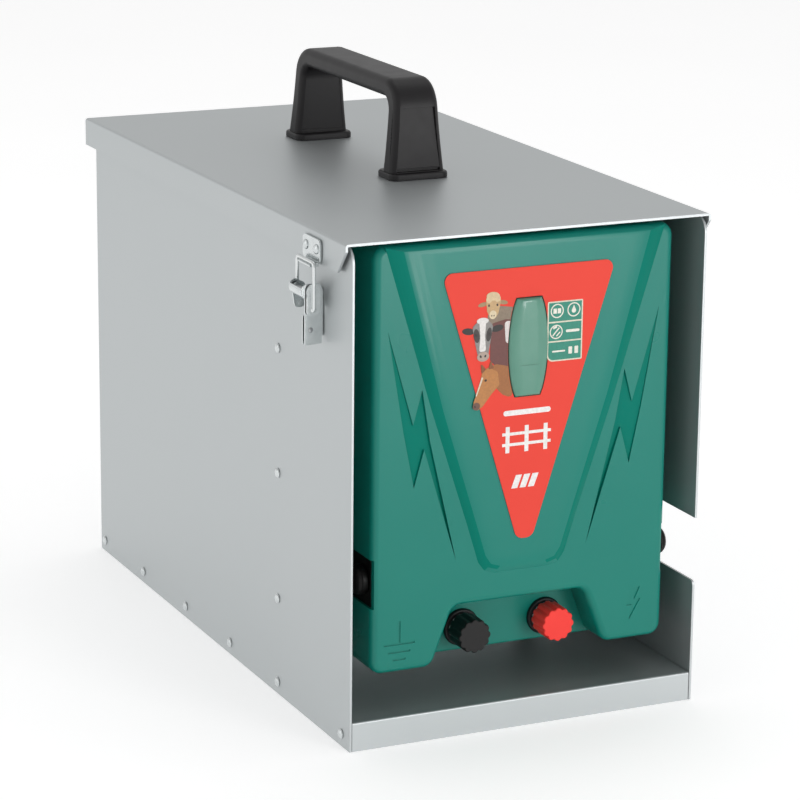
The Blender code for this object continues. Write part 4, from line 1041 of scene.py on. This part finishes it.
# %% Information panel, fence and bars
PANEL_BOX = (12.2, 35.4, 223.4, 259.6)
PANEL_RIM = 0.8
CREAM_INK = "#E9E2CC"
WHITE_INK = "#F8F5F2"


def bar_shape(a0, b0, a1, b1, width):
    """A straight stroke between two points."""
    along = Vector((a1 - a0, b1 - b0)).normalized() * width / 2
    across = Vector((-along.y, along.x))
    return [(a0 - across.x, b0 - across.y), (a1 - across.x, b1 - across.y),
            (a1 + across.x, b1 + across.y), (a0 + across.x, b0 + across.y)]


x0, x1, z0, z1 = PANEL_BOX
f0, f1 = x0 + PANEL_RIM, x1 - PANEL_RIM
printed("panel_border", CREAM_INK,
        [rounded([(x0, z0), (x1, z0), (x1, z1), (x0, z1)], [4.0, 0.8, 0.8, 0.8], 6)])
printed("panel_fields", "#218C76", [
    rounded([(f0, z0 + PANEL_RIM), (f1, z0 + PANEL_RIM), (f1, 234.9), (f0, 234.9)],
            [3.4, 0.3, 0.3, 0.3], 6),
    rectangle(f0, f1, 235.8, 246.6), rectangle(f0, f1, 247.5, z1 - PANEL_RIM)], 1)
ROUND_SIGNS = ((18.4, 253.8), (29.4, 253.8), (18.0, 241.2))
printed("panel_rings", "#F2EEE0", [circle(a, b, 4.3, 32) for a, b in ROUND_SIGNS], 2,
        holes=[circle(a, b, 3.6, 32) for a, b in ROUND_SIGNS])
printed("panel_signs", "#F4F0E4", [
    rectangle(15.9, 18.1, 252.3, 255.3), rectangle(18.7, 20.9, 252.3, 255.3),
    ellipse(29.4, 253.2, 1.4, 1.4), [(28.1, 253.8), (30.7, 253.8), (29.4, 256.6)],
    bar_shape(15.8, 239.0, 20.0, 243.6, 0.8), bar_shape(16.0, 243.4, 18.4, 244.4, 1.2),
    bar_shape(18.2, 238.6, 20.6, 241.0, 0.7), rectangle(24.4, 33.4, 240.4, 242.0, 0.7),
    rectangle(15.6, 24.2, 228.9, 229.9, 0.4), rectangle(26.4, 28.8, 227.2, 231.6, 0.5),
    rectangle(30.4, 32.8, 227.2, 231.6, 0.5)], 2)

fence = [bar_shape(x, 170.5, x, 186.5, 2.6) for x in (-12.5, 0.0, 12.5)]
fence += [bar_shape(-16.0, z, 16.0, z, 1.8) for z in (182.0, 175.5)]
printed("fence_mark", WHITE_INK, fence)
printed("fence_caption", WHITE_INK, [rectangle(-15.5, 15.5, 193.2, 196.4, 1.5)])
printed("slanted_bars", WHITE_INK, [[(x, 148.5), (x + 4.0, 148.5), (x + 7.0, 156.5),
                                     (x + 3.0, 156.5)] for x in (-9.5, -4.0, 1.5)])

# %% [markdown]
# ## Screw terminals
#
# Fence and earth leads are clamped under fluted knobs on brass studs: black for earth, red
# for the fence. A knob is a turned blank whose rim has twelve scallops, so its outline is a
# circle with a bite taken out twelve times. It is lofted with a small chamfer at both ends.

# %% Terminals
FLUTES = 12
KNOB_RADIUS = 10.7
FLUTE_DEPTH = 1.0
FLUTE_POINTS = 10             # points of the outline per flute


def fluted(x, z, shrink):
    """Scalloped outline round a stud."""
    points = []
    for k in range(FLUTES * FLUTE_POINTS):
        angle = 2 * math.pi * k / (FLUTES * FLUTE_POINTS)
        radius = KNOB_RADIUS - FLUTE_DEPTH * abs(math.sin(angle * FLUTES / 2)) ** 3 - shrink
        points.append((x + radius * math.cos(angle), z + radius * math.sin(angle)))
    return points


for side, tag, knob_plastic, knob_slot in ((-1, "earth", black_knob_plastic, "black_plastic"),
                                           (1, "fence", red_knob_plastic, "red_plastic")):
    x = side * STUD_X
    knob_low, knob_high = span("terminal_knob_" + tag)
    rings = ((knob_high.y, 0.9), (knob_high.y - 0.7, 0.1), (knob_high.y - 1.2, 0.0),
             (knob_low.y + 0.9, 0.15), (knob_low.y + 0.3, 0.35), (knob_low.y, 0.8))
    knob = loft("y", [(y, fluted(x, STUD_Z, shrink)) for y, shrink in rings])
    cut(knob, prism("y", circle(x, STUD_Z, 3.2, 24), knob_high.y - 12.6, knob_high.y + 5))
    piece(knob, "fluted_knob_" + tag, knob_plastic, "knob_" + tag,
          ("terminal_knob_" + tag,), smooth=28)
    refined("terminal_collar_" + tag, black_nylon, 0.3)
    refined("terminal_washer_" + tag, zinc_plate, 0.15)
    refined("terminal_stud_" + tag, brass, 0.0)
    refined("terminal_nut_" + tag, brass, 0.3)
    print(tag, "knob", [round(side_length, 1) for side_length in knob_high - knob_low])

# %% [markdown]
# ## Side seats and quarter-turn knobs
#
# A black seat fills each side pocket and carries a domed knob with a coin slot. Both are
# acetal mouldings, and their edges are only slightly broken.

# %% Side seats and knobs
for tag in ("left", "right"):
    refined("side_seat_" + tag, black_seat_plastic, 0.3)
    refined("side_knob_" + tag, black_seat_plastic, 0.35)
print("side knobs done")

# %% [markdown]
# ## Toggle latches
#
# Each latch is pressed from plated sheet: a keeper riveted to the lid's flange, a base on
# the wall, a lever rolled at its top and a wire bail that the lever pulls down over the
# keeper's lip. The pressed parts come from the CAD solids with rounded edges. The bail is a
# smooth round wire, swept along a path whose corners are soft, and its front leg ends in a
# flat side plate with a domed pivot head. Two rivets on each keeper and a small stud in the
# lever's cheek are added, because such small round heads catch the brightest light.

# %% Toggle latches
LATCH_Y = middle_of("latch_lever_left").y
BAIL_LEG = 12.4               # from the latch's centre line to a leg of the bail
BAIL_TOE = 8.3                # the wire's turned-in ends reach to here
PLATE_DROP = 3.4              # the bail's side plate reaches this far below its pivot
PLATE_RISE = 15.0
PLATE_HALF = 4.0
STUD_HEIGHT = 248.0           # small stud in the lever's front cheek
STUD_OUT = 9.4                # distance of the stud from the wall
KEEPER_RIVET_OFFSET = 7.6
KEEPER_RIVET_Z = 295.0
WIRE_RADIUS = 1.1
# (distance from the plate or the centre line, radius)
KEEPER_RIVET = ((1.6, 0.0), (1.5, 1.2), (1.1, 2.2), (0.5, 2.9), (0.02, 3.0), (-1.0, 3.0),
                (-1.0, 0.0))
PIVOT_HEAD = ((12.5, 0.0), (12.3, 1.1), (11.9, 1.7), (11.6, 1.8), (11.6, 0.0))
LEVER_STUD = ((10.1, 0.0), (10.0, 1.0), (9.7, 1.5), (9.5, 1.6), (9.2, 0.0))


def arc_path(corners, radii, steps=6):
    """Path in the y-z plane with rounded inner corners."""
    path = [corners[0]]
    for i in range(1, len(corners) - 1):
        here = Vector(corners[i])
        before = Vector(corners[i - 1]) - here
        after = Vector(corners[i + 1]) - here
        half = before.angle(after) / 2
        reach = min(radii[i - 1] / math.tan(half), before.length * 0.49, after.length * 0.49)
        start = here + before.normalized() * reach
        end = here + after.normalized() * reach
        for k in range(steps + 1):
            t = k / steps
            point = (1 - t) ** 2 * start + 2 * t * (1 - t) * here + t ** 2 * end
            path.append(tuple(point))
    path.append(corners[-1])
    return path


def wire_along(x, path, radius, sides=14):
    """Round wire whose centre line lies in a plane x = constant."""
    bm = bmesh.new()
    rings = []
    for i, (y, z) in enumerate(path):
        y0, z0 = path[max(i - 1, 0)]
        y1, z1 = path[min(i + 1, len(path) - 1)]
        along = Vector((0.0, y1 - y0, z1 - z0)).normalized()
        sideways = Vector((1.0, 0.0, 0.0))
        normal = along.cross(sideways)
        ring = []
        for k in range(sides):
            angle = 2 * math.pi * k / sides
            spoke = sideways * math.cos(angle) + normal * math.sin(angle)
            ring.append(bm.verts.new(Vector((x, y, z)) + radius * spoke))
        rings.append(ring)
    for low, high in zip(rings, rings[1:]):
        for k in range(sides):
            bm.faces.new((low[k], low[(k + 1) % sides], high[(k + 1) % sides], high[k]))
    bm.faces.new(rings[0])
    bm.faces.new(list(reversed(rings[-1])))
    return solid(bm)


for tag, side in (("left", -1), ("right", 1)):
    refined("latch_keeper_" + tag, zinc_plate, 0.3)
    refined("latch_base_" + tag, zinc_plate, 0.2)
    refined("latch_lever_" + tag, zinc_plate, 0.25)
    refined("latch_pin_" + tag, plain_steel, 0.3)
    bail_low, bail_high = span("latch_bail_" + tag)
    foot_z = bail_low.z + PLATE_DROP
    wire_x = (bail_low.x + bail_high.x) / 2
    top_z = bail_high.z - WIRE_RADIUS
    corners = [(LATCH_Y - BAIL_TOE, foot_z), (LATCH_Y - BAIL_LEG, foot_z),
               (LATCH_Y - BAIL_LEG, top_z), (LATCH_Y + BAIL_LEG, top_z),
               (LATCH_Y + BAIL_LEG, foot_z), (LATCH_Y + BAIL_TOE, foot_z)]
    bail = wire_along(wire_x, arc_path(corners, (1.2, 3.0, 3.0, 1.2)), WIRE_RADIUS)
    lower_radii = [3.6, 2.0] if side > 0 else [2.0, 3.6]
    side_plate = rounded([(wire_x - PLATE_HALF, foot_z - PLATE_DROP),
                          (wire_x + PLATE_HALF, foot_z - PLATE_DROP),
                          (wire_x + PLATE_HALF, foot_z + PLATE_RISE),
                          (wire_x - PLATE_HALF, foot_z + PLATE_RISE)],
                         lower_radii + [3.9, 3.9], 8)
    join(bail, prism("y", side_plate, LATCH_Y - 11.7, LATCH_Y - 10.5))
    join(bail, turned("y", wire_x, foot_z, [(LATCH_Y - reach, r) for reach, r in PIVOT_HEAD], 20))
    piece(bail, "wire_bail_" + tag, bright_wire, "bail_" + tag, ("latch_bail_" + tag,),
          smooth=50)
    plate_face = WALL_X + 5.2
    rivet = [(side * (plate_face + height), r) for height, r in KEEPER_RIVET]
    for number, y in enumerate((LATCH_Y - KEEPER_RIVET_OFFSET, LATCH_Y + KEEPER_RIVET_OFFSET)):
        piece(turned("x", y, KEEPER_RIVET_Z, rivet, 24), "keeper_rivet_%d_%s" % (number + 1, tag),
              zinc_plate, "lid")
    stud = turned("y", side * (WALL_X + STUD_OUT), STUD_HEIGHT,
                  [(LATCH_Y - reach, r) for reach, r in LEVER_STUD], 20)
    piece(stud, "lever_stud_" + tag, plain_steel, "lever_" + tag)
print("latch centre line at y", round(LATCH_Y, 1))

# %% [markdown]
# ## Hinge, screws and the inside of the energizer
#
# These parts are seen only with the lid open or not at all, but they are part of the
# assembly. Their CAD solids are right, so each gets whole faces, a small bevel and the
# finish of its own material.

# %% Hinge, screws and inner parts
QUIET_PARTS = [
    ("hinge_leaf_body", zinc_plate, "zinc", 0.2), ("hinge_leaf_lid", zinc_plate, "zinc", 0.2),
    ("hinge_pin", plain_steel, "steel", 0.2), ("handle_screw_front", zinc_plate, "zinc", 0.2),
    ("handle_screw_rear", zinc_plate, "zinc", 0.2),
    ("energizer_rear_case", green_abs, "green_plastic", 0.3),
    ("light_guide", clear_plastic, "clear_plastic", 0.2),
    ("circuit_board", fibreglass, "circuit_laminate", 0.1),
    ("transformer_core", iron_stack, "laminated_iron", 0.4),
    ("transformer_winding", copper_coil, "copper_winding", 0.5),
    ("pulse_capacitor", blue_sleeve, "capacitor_sleeve", 0.3),
    ("battery_lead_grommet", soft_rubber, "grommet_rubber", 0.3),
]
QUIET_PARTS += [(screw, zinc_plate, "zinc", 0.15) for screw in (
    "mounting_screw_left", "mounting_screw_right", "case_screw_lower_left",
    "case_screw_lower_right", "case_screw_upper_left", "case_screw_upper_right")]
for node, material, slot, bevel in QUIET_PARTS:
    refined(node, material, bevel)
print("quiet parts:", len(QUIET_PARTS))
